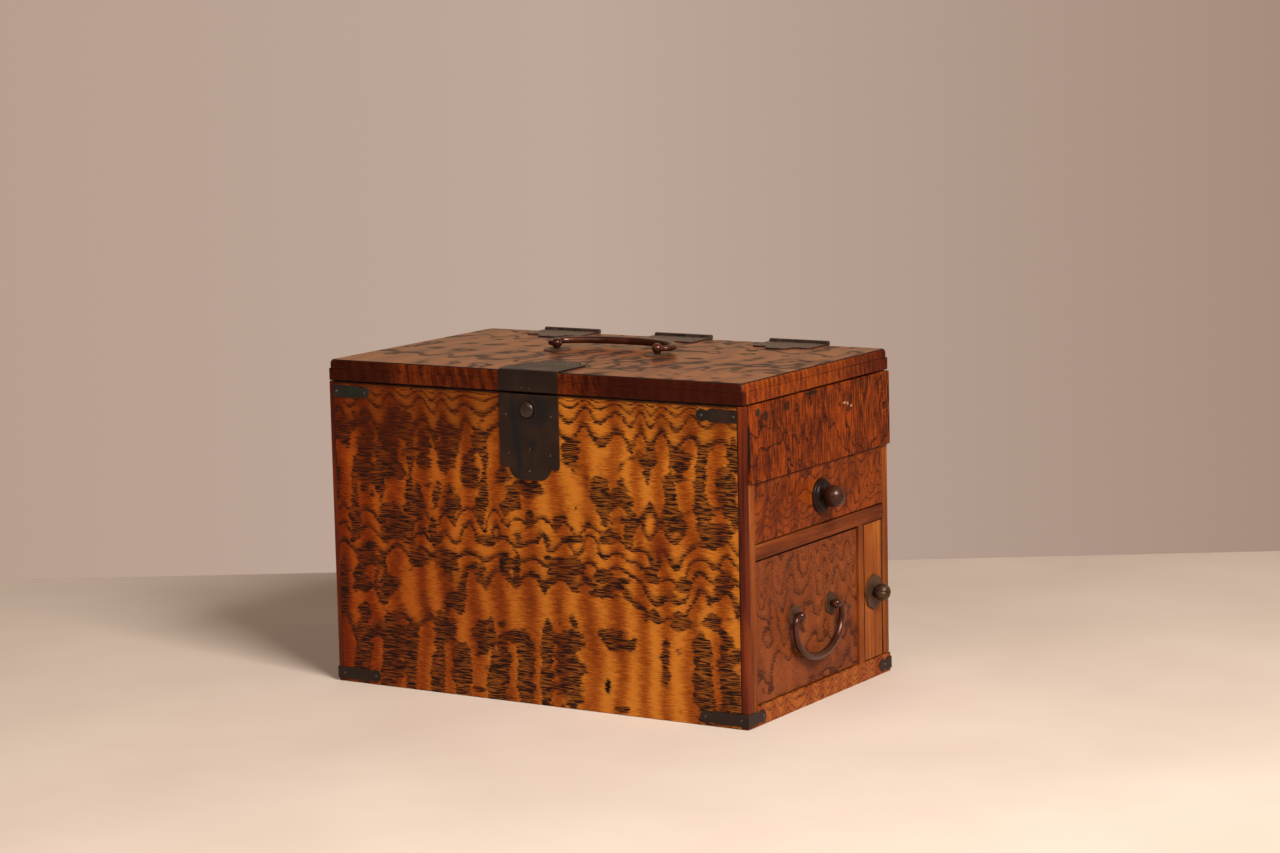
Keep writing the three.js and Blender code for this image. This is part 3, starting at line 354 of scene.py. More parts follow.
    # Early wood: each ring starts with a sharp crowded row of vessels and thins out after it
    fraction = add(tree, "ShaderNodeMath", {0: rings}, operation="FRACT")
    early = add(tree, "ShaderNodeValToRGB", {"Fac": fraction}, stops=[
        (0.0, 0.0), (0.02, 1.0), (width * crisp, 1.0), (width * (crisp + 0.15), 0.6),
        (width * 0.85, 0.5), (width, 0.0), (1.0, 0.0)])

    # Places where a ring lies level with the surface
    if patches:
        spread = add(tree, "ShaderNodeMapping", at_size(grain, (9, 8, 30), 13.0))
        uneven = add(tree, "ShaderNodeTexNoise", {"Vector": spread, "Scale": 1.0, "Detail": 2.0})
        uneven = add(tree, "ShaderNodeMath", {0: uneven, 1: 1.3, 2: -0.65}, operation="MULTIPLY_ADD")
        uneven = add(tree, "ShaderNodeMath", {0: wave, 1: 0.1, 2: uneven}, operation="MULTIPLY_ADD")
        cover = 0.0
        for centre_along, centre_over, reach_along, reach_over in patches:
            near = add(tree, "ShaderNodeTexGradient", {"Vector": grain}, "Fac",
                       **round_patch((centre_along, centre_over), (reach_along, reach_over)))
            cover = add(tree, "ShaderNodeMath", {0: near, 1: cover}, operation="MAXIMUM")
        cover = add(tree, "ShaderNodeMath", {0: cover, 1: uneven}, operation="ADD")
        level = add(tree, "ShaderNodeMapRange", {"Value": cover, "From Min": 0.36, "From Max": 0.50})
        early = add(tree, "ShaderNodeMath", {0: early, 1: level}, operation="MAXIMUM")

    # Vessels: dark dashes along the grain. Real ones are about 0.3 mm wide and would blur away, so
    # they are drawn about twice as wide
    spread = add(tree, "ShaderNodeMapping", at_size(face, (16, 9, 30), 17.0))
    lean = add(tree, "ShaderNodeTexNoise", {"Vector": spread, "Scale": 1.0, "Detail": 1.0})
    lean = add(tree, "ShaderNodeMath", {0: lean, 1: 1.3, 2: over}, operation="MULTIPLY_ADD")
    leaning = add(tree, "ShaderNodeCombineXYZ", {0: along, 1: lean, 2: depth})
    spread = add(tree, "ShaderNodeMapping", at_size(leaning, (*dash, 9), 23.0))
    dashes = add(tree, "ShaderNodeTexNoise", {"Vector": spread, "Scale": 1.0, "Detail": 2.0})
    sparse = add(tree, "ShaderNodeMath", {0: early, 1: 0.3, 2: -0.3}, operation="MULTIPLY_ADD")
    dashes = add(tree, "ShaderNodeMath", {0: dashes, 1: sparse}, operation="ADD")
    dashes = add(tree, "ShaderNodeMapRange", {"Value": dashes, "From Min": 0.42, "From Max": 0.54},
                 interpolation_type="SMOOTHSTEP")
    dashes = add(tree, "ShaderNodeMapRange", {"Value": dashes, "To Min": 0.12, "To Max": 1.0})
    vessels = add(tree, "ShaderNodeMath", {0: early, 1: dashes}, operation="MULTIPLY")

    # Ground colour: the sheen of the ripples, streaks, fibres and slow changes of tone
    sheen = add(tree, "ShaderNodeMath", {0: angle, 1: 1.9}, operation="ADD")
    sheen = add(tree, "ShaderNodeMath", {0: sheen}, operation="SINE")
    middle = 0.74 - 0.5 * sum(share for _, share in grain_shares)
    sheen = add(tree, "ShaderNodeMath", {0: sheen, 1: ripple_sheen, 2: middle}, operation="MULTIPLY_ADD")
    for lengths, share in grain_shares:
        spread = add(tree, "ShaderNodeMapping", at_size(streaks, lengths, share))
        fibres = add(tree, "ShaderNodeTexNoise", {"Vector": spread, "Scale": 1.0, "Detail": 2.0})
        sheen = add(tree, "ShaderNodeMath", {0: fibres, 1: share, 2: sheen}, operation="MULTIPLY_ADD")
    ground = add(tree, "ShaderNodeValToRGB", {"Fac": sheen}, stops=[
        (0.35, tones["dark"]), (0.62, tones["middle"]), (0.95, tones["light"])])
    if "far" in tones:
        fade = add(tree, "ShaderNodeMapRange", {
            "Value": along, "From Min": tones["from"], "From Max": tones["to"]})
        ground = add(tree, "ShaderNodeMix", {"Factor": fade, FIRST: ground, SECOND: linear(tones["far"])},
                     MIXED, data_type="RGBA", blend_type="MULTIPLY")
    halo = add(tree, "ShaderNodeMath", {0: early, 1: 0.55}, operation="MULTIPLY")
    colour = add(tree, "ShaderNodeMix", {"Factor": halo, FIRST: ground, SECOND: linear(tones["early"])},
                 MIXED, data_type="RGBA")
    colour = add(tree, "ShaderNodeMix", {"Factor": vessels, FIRST: colour, SECOND: linear(tones["vessel"])},
                 MIXED, data_type="RGBA")
    for centre, reach, strength, shade in marks:
        near = add(tree, "ShaderNodeTexGradient", {"Vector": grain}, "Fac", **round_patch(centre, reach))
        stain = add(tree, "ShaderNodeMapRange", {
            "Value": near, "From Min": 0.35, "From Max": 0.6, "To Max": strength})
        colour = add(tree, "ShaderNodeMix", {"Factor": stain, FIRST: colour, SECOND: linear(shade)},
                     MIXED, data_type="RGBA")

    # Varnish: it has sunk into the vessels, which are duller and a little hollow
    roughness = add(tree, "ShaderNodeMapRange", {"Value": vessels, "To Min": 0.42, "To Max": 0.62})
    polish = add(tree, "ShaderNodeMapRange", {"Value": early, "To Min": gloss, "To Max": gloss * 0.4})
    spread = add(tree, "ShaderNodeMapping", at_size(face, (5, 0.6, 5), 29.0))
    pores = add(tree, "ShaderNodeTexNoise", {"Vector": spread, "Scale": 1.0, "Detail": 1.0})
    relief = add(tree, "ShaderNodeBump", {"Strength": 0.12, "Distance": 0.1 * MM, "Height": pores})
    surface = add(tree, "ShaderNodeBsdfPrincipled", {
        "Base Color": colour, "Roughness": roughness, "Normal": relief, "IOR": 1.5,
        "Specular IOR Level": 0.1, "Coat Weight": polish, "Coat Roughness": 0.16, "Coat IOR": 1.5})
    tree.links.new(surface, end.inputs["Surface"])
    return material


# Zelkova, sawn flat through rippled rings and varnished: dark ladders of vessels on amber columns
front_wood = figured_wood(
    "varnished figured zelkova front", "XZY",
    crests=(-173, -152, -131, -109, -87, -67, -47, -22, 0, 21, 44, 66, 84, 101, 122, 143, 164),
    levels=[(0, -0.12, 0.14), (48, -0.16, 0.14), (66, -0.36, 0.16), (82, 0.02, 0.2), (94, 1.0, 0.26),
            (106, 2.1, 0.26), (116, 3.0, 0.3), (130, 3.8, 0.2), (150, 3.84, 0.14),
            (174, 3.84, 0.18), (181, 4.1, 0.3), (205, 8.6, 0.5)],
    swells=[(97, 113, 26, 18, 0.7), (100, 84, 19, 18, 1.3), (-95, 68, 34, 18, 0.9),
            (-135, 62, 20, 22, 0.8), (-52, 117, 7, 10, -0.85), (-30, 118, 5, 9, -0.85),
            (-11, 117, 5, 8, -0.85), (10, 117, 6, 10, -0.85), (46, 112, 6, 6, -0.7),
            (60, 20, 34, 30, -0.25), (104, 30, 18, 40, -0.15), (35, 140, 30, 26, -0.2)],
    patches=[(-152, 172, 6, 12), (-156, 140, 4, 16), (-131, 160, 7, 30), (-107, 178, 10, 12),
             (-110, 153, 9, 13), (-108, 112, 11, 14), (-84, 160, 5, 22), (-88, 124, 4, 18),
             (-65, 166, 7, 17), (-64, 130, 6, 11), (-47, 150, 6, 13), (-40, 173, 5, 8), (-22, 150, 5, 8),
             (-2, 144, 8, 7), (33, 168, 7, 9), (54, 143, 7, 12), (68, 142, 7, 13), (88, 168, 7, 9),
             (104, 140, 4, 18), (115, 168, 7, 10), (112, 131, 8, 6), (127, 138, 4, 18), (144, 150, 6, 17),
             (139, 125, 8, 9), (153, 172, 4, 9), (-132, 88, 7, 8), (-90, 89, 7, 6), (-68, 88, 7, 9),
             (-76, 104, 5, 4), (-44, 85, 6, 6), (-22, 92, 5, 8), (-13, 90, 3, 7), (26, 93, 12, 7),
             (54, 90, 7, 4), (68, 88, 7, 2), (55, 78, 14, 2), (88, 94, 6, 5), (116, 88, 8, 4),
             (145, 92, 6, 8), (88, 67, 7, 4), (110, 65, 8, 5), (135, 67, 8, 5), (-156, 50, 4, 15),
             (-138, 70, 8, 8), (-114, 69, 9, 7), (-137, 36, 5, 24), (-112, 36, 12, 17), (-112, 12, 9, 10),
             (-70, 44, 9, 8), (-76, 22, 4, 20), (-63, 20, 5, 20), (-42, 38, 6, 14), (-24, 26, 5, 25),
             (-5, 24, 5, 22), (-14, 43, 12, 6), (24, 27, 11, 25), (62, 49, 11, 6), (66, 4, 5, 2),
             (-44, 6, 5, 2), (100, 36, 3, 18), (124, 30, 4, 36), (143, 32, 5, 30), (-41, 124, 4, 9),
             (-21, 128, 4, 6), (-1, 121, 3, 8), (21, 124, 4, 6), (-40, 106, 6, 3), (30, 112, 8, 3),
             (60, 116, 7, 4), (74, 122, 3, 10), (-142, 112, 4, 14), (-120, 140, 3, 10), (-97, 108, 3, 10),
             (-79, 112, 3, 8)],
    tones={"dark": "#6A2A06", "middle": "#94460C", "light": "#C27322", "early": "#5C2606",
           "vessel": "#241009", "far": "#C88454", "from": 20, "to": -190},
    width=0.5, crisp=0.5, broad_rings=0.5, drift=1.0, ripple_sheen=0.19, dash=(8, 0.62),
    # The last mark is painted shade: a near-black line along the top edge of the front, under the lid
    marks=[((-100, 205), (75, 42), 0.55, "#441503"), ((120, 205), (60, 22), 0.35, "#4A1A04"),
           ((97, 112), (9, 7), 0.6, "#6A2406"), ((56, 18), (2.0, 5), 1.0, "#120A06"),
           ((-24, 91), (2.0, 5), 0.9, "#1C120C"), ((10, 111), (1.8, 4), 0.9, "#1C120C"),
           ((108, 124), (4, 1.6), 0.8, "#2A1408"), ((0, 207), (600, 3.2), 0.9, "#160803")])


def even_crests(low, high, period):
    """Places for even ripples."""
    count = math.ceil((high - low) / period)
    return [low + period * step for step in range(count + 1)]


# Zelkova with a tight curl, varnished and reddened by age: upright flames, dents and a few pale chips
upper_side_wood = figured_wood(
    "varnished rippled zelkova upper side", "YZX", even_crests(-110, 110, 13),
    levels=[(155, 0.3, 0.05), (172, 0.6, 0.15), (190, 1.2, 0.2), (205, 1.5, 0.1)],
    swells=[(60, 176, 26, 22, 1.6), (-60, 160, 26, 14, 0.8)],
    tones={"dark": "#2C0A01", "middle": "#481602", "light": "#923A08", "early": "#3C1203",
           "vessel": "#220A03"},
    marks=[((-70, 196), (4, 3), 0.8, "#1A0E08"), ((-42, 199), (3, 3), 0.8, "#1A0E08"),
           ((-10, 203), (9, 1.2), 0.8, "#1A0E08"), ((-91, 182), (1.4, 12), 0.95, "#14100E"),
           ((34, 191), (2.2, 0.7), 0.7, "#C8926E"), ((38, 190), (1.2, 1.1), 0.6, "#C8926E"),
           ((43, 188), (1.6, 0.7), 0.7, "#C8926E"), ((94, 189), (0.8, 5), 0.8, "#1A0E08")],
    drift=3.0, broad=(18, 24, 60), broad_rings=2.4, width=0.17, crisp=0.6, ragged=4, shift=31.0,
    ripple_sheen=0.03,
    grain_shares=(((1.3, 13, 60), 1.15), ((5, 0.7, 6), 0.35), ((0.7, 0.7, 0.7), 0.15), ((22, 30, 60), 0.5)))

# Zelkova with close slanting rings, varnished: thin dark contour lines on red brown
upper_drawer_wood = figured_wood(
    "varnished zelkova upper drawer", "YZX", (-118, -95, -72, -55, -30, -6, 18, 40, 62, 80, 104),
    levels=[(116, 0.0, 0.25), (130, 2.2, 0.35), (158, 5.6, 0.4)],
    tones={"dark": "#3C1402", "middle": "#5E2206", "light": "#96420E", "early": "#461706",
           "vessel": "#2C0F07"},
    marks=[((36, 129), (1.2, 5), 0.8, "#1C120C")],
    drift=2.4, broad=(38, 24, 60), broad_rings=5.0, width=0.3, ragged=6, shift=58.0, slant=-0.2,
    dash=(4, 0.5), ripple_sheen=0.05,
    grain_shares=(((2.4, 12, 60), 0.6), ((5, 0.6, 6), 0.3), ((0.9, 0.7, 0.9), 0.2), ((30, 30, 60), 0.5)))

# Zelkova with its varnish rubbed dull: soft brown arches, with a dent and a stain by the bail
large_drawer_wood = figured_wood(
    "varnished zelkova large drawer", "YZX", (-110, -92, -72, -50, -31, -8, 12, 27, 46, 66, 88, 110),
    levels=[(10, 0.0, 0.12), (28, 0.7, 0.14), (60, 1.9, 0.3), (84, 3.3, 0.7), (96, 4.1, 0.7),
            (107, 4.9, 0.4)],
    tones={"dark": "#52200A", "middle": "#6E3010", "light": "#8E481E", "early": "#54250F",
           "vessel": "#3E1C10"},
    marks=[((20, 81), (1.4, 3.4), 0.8, "#2A2018"), ((40, 53), (2.0, 3.4), 0.8, "#2A2018"),
           ((-40, 96), (3, 5), 0.5, "#3A2416")],
    drift=1.6, broad=(26, 24, 60), broad_rings=2.6, width=0.5, ragged=10, shift=83.0, ripple_sheen=0.05,
    dash=(5, 0.5))

# Zelkova cut to a low rail and varnished: small pointed arches in a row on orange brown
rail_wood = figured_wood(
    "varnished zelkova bottom rail", "YZX", even_crests(-110, 110, 17),
    levels=[(0, 0.0, 0.7), (13, 2.6, 0.7)],
    tones={"dark": "#5E2406", "middle": "#84380C", "light": "#A85A20", "early": "#5A2408",
           "vessel": "#34180B"},
    drift=3.0, broad=(22, 14, 60), broad_rings=2.4, width=0.36, ragged=8, shift=12.0, dash=(5, 0.5))

# Zelkova polished by hands under its varnish: coarse dark flecks, and the wall mirrored in it
lid_top_wood = figured_wood(
    "varnished figured zelkova lid", "XYZ", even_crests(-180, 180, 24),
    levels=[(-100, 0.0, 0.2), (-40, 0.7, 0.2), (20, 1.2, 0.2), (60, 1.9, 0.3), (100, 3.0, 0.3)],
    tones={"dark": "#4C1A06", "middle": "#6C2E0A", "light": "#8C4812", "early": "#30150A",
           "vessel": "#120905"},
    drift=2.0, broad=(120, 24, 80), broad_rings=2.4, width=0.36, crisp=0.6, dash=(14, 0.7), shift=47.0,
    gloss=0.4)

# Curly zelkova along the ends of the lid, varnished: short leaning flames, duller towards the back
lid_edge_wood = figured_wood(
    "varnished zelkova lid edge", "YZX", even_crests(-110, 110, 6),
    levels=[(204, 0.4, 0.1), (220, 0.6, 0.1)],
    tones={"dark": "#340E02", "middle": "#5E1F05", "light": "#96420B", "early": "#4A1805",
           "vessel": "#260E07", "far": "#A07060", "from": 20, "to": 90},
    drift=2.5, broad=(9, 30, 60), broad_rings=0.9, width=0.14, shift=66.0, ripple_sheen=0.1, slant=0.25,
    grain_shares=(((1.2, 9, 60), 0.9), ((5, 0.6, 6), 0.2), ((0.7, 0.7, 0.7), 0.15), ((24, 40, 60), 0.5)))

# Curly zelkova under varnish that has gone nearly black: a dark red band with glints in its middle
lid_front_wood = figured_wood(
    "dark varnished zelkova lid front", "XZY", even_crests(-180, 180, 9),
    levels=[(204, 0.5, 0.05), (220, 0.6, 0.05)],
    tones={"dark": "#220702", "middle": "#380E03", "light": "#702C08", "early": "#340E04",
           "vessel": "#200803"},
    marks=[((-134, 212), (27, 40), 0.8, "#2E0A02"), ((110, 212), (62, 40), 0.85, "#300A03")],
    drift=2.5, broad=(14, 30, 60), broad_rings=0.8, width=0.14, shift=9.0, ripple_sheen=0.08, slant=0.2,
    grain_shares=(((2.0, 12, 60), 0.75), ((6, 0.6, 6), 0.2), ((0.7, 0.7, 0.7), 0.15), ((40, 40, 60), 0.5)))


def column_patches(crests, low, high, seed):
    """Level patches in the columns between the ripples, from one seeded draw."""
    draw = random.Random(seed)
    found = []
    for place, following in zip(crests, crests[1:]):
        middle = (place + following) / 2
        bottom = low + draw.uniform(-12, 8)
        while bottom < high:
            reach = draw.uniform(5, 24)
            if draw.random() < 0.72:
                found.append((middle + draw.uniform(-3, 3), bottom + reach, draw.uniform(4, 7.5), reach))
            bottom += 2 * reach + draw.uniform(1, 12)
    return found


# The front's flat-sawn zelkova again, a shade quieter: ladders of vessels in even columns
back_crests = even_crests(-180, 180, 21)
back_wood = figured_wood(
    "varnished zelkova back", "XZY", back_crests,
    levels=[(0, -0.2, 0.14), (58, -0.12, 0.14), (76, 0.4, 0.18), (92, 1.1, 0.2), (108, 1.76, 0.2),
            (128, 1.84, 0.14), (170, 1.86, 0.16), (182, 2.2, 0.3), (205, 5.6, 0.4)],
    patches=column_patches(back_crests[1:-1], 0, 172, 5),
    tones={"dark": "#622606", "middle": "#8A420C", "light": "#B06618", "early": "#582608",
           "vessel": "#24120A"},
    width=0.44, crisp=0.5, drift=1.6, shift=104.0)

# The same on the left end, with its bands of rings higher up
left_crests = even_crests(-110, 110, 20)
left_wood = figured_wood(
    "varnished zelkova left end", "YZX", left_crests,
    levels=[(0, -0.2, 0.14), (88, -0.14, 0.14), (104, 0.4, 0.18), (118, 1.2, 0.2), (134, 1.8, 0.2),
            (150, 1.86, 0.14), (172, 1.9, 0.18), (205, 6.0, 0.4)],
    patches=column_patches(left_crests[1:-1], 0, 176, 11),
    tones={"dark": "#5E2406", "middle": "#883E0A", "light": "#AC6218", "early": "#562408",
           "vessel": "#24120A"},
    width=0.44, crisp=0.5, drift=1.6, shift=131.0)


def straight_wood(name, axes, tones, roughness=0.5, gloss=0.05, shift=0.0):
    """Plain straight-grained wood: soft bands, and fine pores along the grain.

    Real pores are about 0.3 mm wide. They are drawn half a millimetre wide, so that they show.
    """
    material, tree, end, points = new_material(name)
    split = add(tree, "ShaderNodeSeparateXYZ", {0: points}).node
    along, over, depth = (split.outputs["XYZ".index(axis)] for axis in axes)
    grain = add(tree, "ShaderNodeCombineXYZ", {0: along, 1: over, 2: depth})
    fields = {}
    for feature, (lengths, detail) in {
        "bands": ((90, 3.2, 30), 3.0),
        "pores": ((14, 0.5, 0.8), 2.0),
        "tone": ((60, 50, 60), 2.0),
        "worn": ((11, 9, 11), 3.0),
    }.items():
        spread = add(tree, "ShaderNodeMapping", {
            "Vector": grain, "Location": (shift, shift * 0.7, shift * 1.3 + len(fields) * 7.3),
            "Scale": tuple(1 / length for length in lengths)})
        fields[feature] = add(tree, "ShaderNodeTexNoise", {
            "Vector": spread, "Scale": 1.0, "Detail": detail})
    blend = add(tree, "ShaderNodeMath", {0: fields["bands"], 1: 0.9, 2: -0.2}, operation="MULTIPLY_ADD")
    blend = add(tree, "ShaderNodeMath", {0: fields["tone"], 1: 0.7, 2: blend}, operation="MULTIPLY_ADD")
    ground = add(tree, "ShaderNodeValToRGB", {"Fac": blend}, stops=[
        (0.35, tones["dark"]), (0.62, tones["middle"]), (0.9, tones["light"])])
    pores = add(tree, "ShaderNodeMapRange", {
        "Value": fields["pores"], "From Min": 0.58, "From Max": 0.7, "To Max": 0.6})
    colour = add(tree, "ShaderNodeMix", {"Factor": pores, FIRST: ground, SECOND: linear(tones["pore"])},
                 MIXED, data_type="RGBA")
    rough = add(tree, "ShaderNodeMapRange", {
        "Value": fields["worn"], "From Min": 0.3, "From Max": 0.7,
        "To Min": roughness - 0.08, "To Max": roughness + 0.1})
    sunk = add(tree, "ShaderNodeMath", {0: pores, 1: -1.0}, operation="MULTIPLY")
    relief = add(tree, "ShaderNodeBump", {"Strength": 0.3, "Distance": 0.08 * MM, "Height": sunk})
    surface = add(tree, "ShaderNodeBsdfPrincipled", {
        "Base Color": colour, "Roughness": rough, "Normal": relief, "IOR": 1.5, "Specular IOR Level": 0.1,
        "Coat Weight": gloss, "Coat Roughness": 0.2, "Coat IOR": 1.5})
    tree.links.new(surface, end.inputs["Surface"])
    return material


# Zelkova brushed with dark lacquer: a quiet red-black frame with its bands just showing
dark_strip_wood = straight_wood("dark lacquered zelkova strip", "ZXY", {
    "dark": "#3A1004", "middle": "#5E1E07", "light": "#84380E", "pore": "#220C05"}, gloss=0.1, shift=5.0)
# Zelkova with its varnish worn away: a light dry stile with fine pores
stile_wood = straight_wood("worn zelkova stile", "ZYX", {
    "dark": "#5E280A", "middle": "#803C12", "light": "#9E5624", "pore": "#3A1C0C"}, shift=17.0)
# Quarter-sawn zelkova with thin varnish: the lightest of the fronts, plain and orange brown
narrow_drawer_wood = straight_wood("varnished plain zelkova drawer front", "ZYX", {
    "dark": "#74320A", "middle": "#944A14", "light": "#B06A2C", "pore": "#46220E"}, gloss=0.08, shift=23.0)
# The end of the back board, rubbed where a hand holds the chest: light bands
back_end_wood = straight_wood("worn zelkova board end", "ZYX", {
    "dark": "#642A0A", "middle": "#844010", "light": "#A05C24", "pore": "#3A1C0C"}, gloss=0.08, shift=29.0)
# Zelkova rail between the drawers, thinly varnished: a plain brown line
shelf_wood = straight_wood("varnished plain zelkova rail", "YZX", {
    "dark": "#4E1E06", "middle": "#743410", "light": "#92501E", "pore": "#30160A"}, shift=41.0)
# Planed zelkova inside the chest, never varnished and browned by age: dull and even
inside_tones = {"dark": "#4A220C", "middle": "#643416", "light": "#7E4A26", "pore": "#2C1408"}
long_inside_wood = straight_wood("plain zelkova inside the long boards", "XZY", inside_tones, shift=47.0)
end_inside_wood = straight_wood("plain zelkova inside the ends", "YZX", inside_tones, shift=53.0)
# The same under the lid, where less light and dust reached it: a little redder and paler
lid_inside_wood = straight_wood("plain zelkova inside the lid", "XYZ", {
    "dark": "#4E240E", "middle": "#683818", "light": "#80502A", "pore": "#2C1408"}, shift=61.0)
# Zelkova edges painted near black as shade: the seams and rounded edges read as dark lines
edge_shade_wood = straight_wood("zelkova painted with edge shade", "YXZ", {
    "dark": "#140703", "middle": "#1E0C05", "light": "#2A1107", "pore": "#0E0502"}, gloss=0.0, shift=43.0)
# Paulownia, planed and left bare: pale, light and matt, with straight bands
inner_wood = straight_wood("bare paulownia", "YXZ", {
    "dark": "#9C7448", "middle": "#BC9260", "light": "#D0AA78", "pore": "#7E5A36"},
    roughness=0.7, gloss=0.0, shift=37.0)


# Metal
def aged_iron(name, base, worn, patina, roughness, metallic, cloud=14.0, coat=0.0, gleam=0.5,
              shift=0.0, streaks=()):
    """Forged metal under old lacquer: clouded, dull in the hollows, with a thin patina.

    The lacquer covers part of the metal, so metallic stays below one. cloud is the size in
    millimetres of the places where the lacquer has thinned. coat is the share that is still clear
    and smooth, and gleam is how strongly the rest of the lacquer mirrors the room. streaks are dark
    runs down a plate on the front, each with its centre and its reach.
    """
    material, tree, end, points = new_material(name)
    fields = {}
    for feature, (length, detail) in {
        "cloud": (cloud, 4.0),
        "grit": (1.1, 3.0),
        "bloom": (22.0, 3.0),
    }.items():
        spread = add(tree, "ShaderNodeMapping", {
            "Vector": points, "Location": (shift + len(fields) * 5.1,) * 3, "Scale": (1 / length,) * 3})
        fields[feature] = add(tree, "ShaderNodeTexNoise", {
            "Vector": spread, "Scale": 1.0, "Detail": detail})
    worn_share = add(tree, "ShaderNodeMapRange", {
        "Value": fields["cloud"], "From Min": 0.45, "From Max": 0.75, "To Max": 0.8})
    colour = add(tree, "ShaderNodeMix", {"Factor": worn_share, FIRST: linear(base), SECOND: linear(worn)},
                 MIXED, data_type="RGBA")
    bloom = add(tree, "ShaderNodeMapRange", {
        "Value": fields["bloom"], "From Min": 0.5, "From Max": 0.75, "To Max": 0.75})
    colour = add(tree, "ShaderNodeMix", {"Factor": bloom, FIRST: colour, SECOND: linear(patina)},
                 MIXED, data_type="RGBA")
    if streaks:
        split = add(tree, "ShaderNodeSeparateXYZ", {0: points}).node.outputs
        flat = add(tree, "ShaderNodeCombineXYZ", {0: split["X"], 1: split["Z"], 2: split["Y"]})
    for centre, reach in streaks:
        near = add(tree, "ShaderNodeTexGradient", {"Vector": flat}, "Fac", **round_patch(centre, reach))
        stain = add(tree, "ShaderNodeMapRange", {
            "Value": near, "From Min": 0.1, "From Max": 0.7, "To Max": 0.8})
        colour = add(tree, "ShaderNodeMix", {"Factor": stain, FIRST: colour, SECOND: linear("#14181A")},
                     MIXED, data_type="RGBA")
    rough = add(tree, "ShaderNodeMapRange", {
        "Value": fields["cloud"], "From Min": 0.3, "From Max": 0.7,
        "To Min": roughness - 0.08, "To Max": roughness + 0.1})
    hammered = add(tree, "ShaderNodeMath", {0: fields["grit"], 1: 0.35, 2: fields["cloud"]},
                   operation="MULTIPLY_ADD")
    relief = add(tree, "ShaderNodeBump", {"Strength": 0.35, "Distance": 0.25 * MM, "Height": hammered})
    surface = add(tree, "ShaderNodeBsdfPrincipled", {
        "Base Color": colour, "Metallic": metallic, "Roughness": rough, "Normal": relief,
        "Specular IOR Level": gleam, "Coat Weight": coat, "Coat Roughness": 0.12})
    tree.links.new(surface, end.inputs["Surface"])
    return material


# Sheet iron, hammered and lacquered: nearly black, brown where the lacquer has thinned
plate_iron = aged_iron("lacquered iron plate", "#2A1910", "#3C2618", "#1E1B18",
                       roughness=0.5, metallic=0.5)
# The same on the lock, where hands have touched it: warmer, with dark runs
lock_iron = aged_iron("lacquered iron lock plate", "#2D1A10", "#40281A", "#1E1B18",
                      roughness=0.5, metallic=0.5, streaks=[
                          ((-11.5, 189), (2.2, 8)), ((-9.5, 179), (1.8, 8)), ((-7.8, 169), (1.6, 8)),
                          ((-7.2, 161), (1.3, 6)), ((6, 194), (9, 7)), ((3, 172), (2.4, 3.4))])
# Sheet iron that has caught a green bloom: a cool patch in the upper left corner
green_iron = aged_iron("iron plate with green bloom", "#26241C", "#343022", "#203A28",
                       roughness=0.55, metallic=0.5, cloud=9, shift=3.0)
# Sheet iron rubbed bare in places by the lid: brown, with a soft shine
hinge_iron = aged_iron("lacquered iron hinge leaf", "#3E2C22", "#64483A", "#2E231D",
                       roughness=0.38, metallic=0.5, cloud=6, shift=7.0)
# Forged iron rod polished by hands: red brown with bright highlights
bail_iron = aged_iron("polished brown iron bail", "#4E2819", "#6C3A24", "#341A10",
                      roughness=0.28, metallic=0.6, coat=0.3, gleam=0.2, shift=11.0)
# Turned iron, polished by fingers and lacquered dark: a small round highlight
knob_iron = aged_iron("polished brown iron knob", "#3A1C11", "#522C1A", "#2A140C",
                      roughness=0.34, metallic=0.35, coat=0.2, gleam=0.25, shift=13.0)
# Turned iron that keeps its dark lacquer under the upper knob: dull, with little of the room in it
rosette_iron = aged_iron("dark lacquered iron rosette", "#1E0E08", "#2E170E", "#160A06",
                         roughness=0.5, metallic=0.2, coat=0.05, gleam=0.15, shift=9.0)
# Turned iron rubbed by a thumb: browner than the plate round it
button_iron = aged_iron("rubbed brown iron button", "#33200F", "#4C3018", "#24160C",
                        roughness=0.36, metallic=0.3, cloud=3, coat=0.2, shift=33.0)
# Thin iron washers with most of their lacquer gone: brown and dull
washer_iron = aged_iron("worn brown iron washer", "#4E3423", "#6A4B36", "#3C281C",
                        roughness=0.45, metallic=0.3, cloud=6, gleam=0.15, shift=21.0)
# Sheet iron behind the narrow knob, worn like the washers: a little paler
knob_plate_iron = aged_iron("worn brown iron knob plate", "#543826", "#704E38", "#402B1E",
                            roughness=0.45, metallic=0.3, cloud=6, gleam=0.15, shift=25.0)
# Cast bronze worn bright on its flutes: warmer and shinier than the iron
bronze = aged_iron("worn cast bronze", "#4A3222", "#745438", "#3A281C",
                   roughness=0.35, metallic=0.7, cloud=4, shift=15.0)
# Nail heads rubbed to bare metal, and painted pale for the glint on their domes as well: small bright dots
nail_wear_and_glint = aged_iron("worn iron nail heads with painted glint", "#54483A", "#8C7C64", "#383028",
                       roughness=0.24, metallic=0.8, cloud=3, coat=0.6, shift=19.0)
# Nail heads that keep their brown: dots that just show
dull_nail = aged_iron("dull iron nail heads", "#463C32", "#665A4A", "#342C26",
                      roughness=0.3, metallic=0.6, cloud=3, coat=0.4, shift=27.0)


# Ways to make a piece
def body_of(node):
    """The body that a CAD node rides on."""
    return nodes[node]["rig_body"]


def box_block(node):
    """A block that fills a node's box, with the box's lowest and highest corners."""
    low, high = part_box(node)
    bm = bmesh.new()
    place = Matrix.Translation((low + high) / 2) @ Matrix.Diagonal(high - low).to_4x4()
    bmesh.ops.create_cube(bm, size=1, matrix=place)
    return bm, low, high


def box_board(node, material, easing, segments=3):
    """A board in its node's box with eased edges."""
    bm, _, _ = box_block(node)
    ease(bm, bm.edges[:], easing, segments)
    return finish_piece(node + "_board", bm, material, body_of(node), (node,), weighted=True)


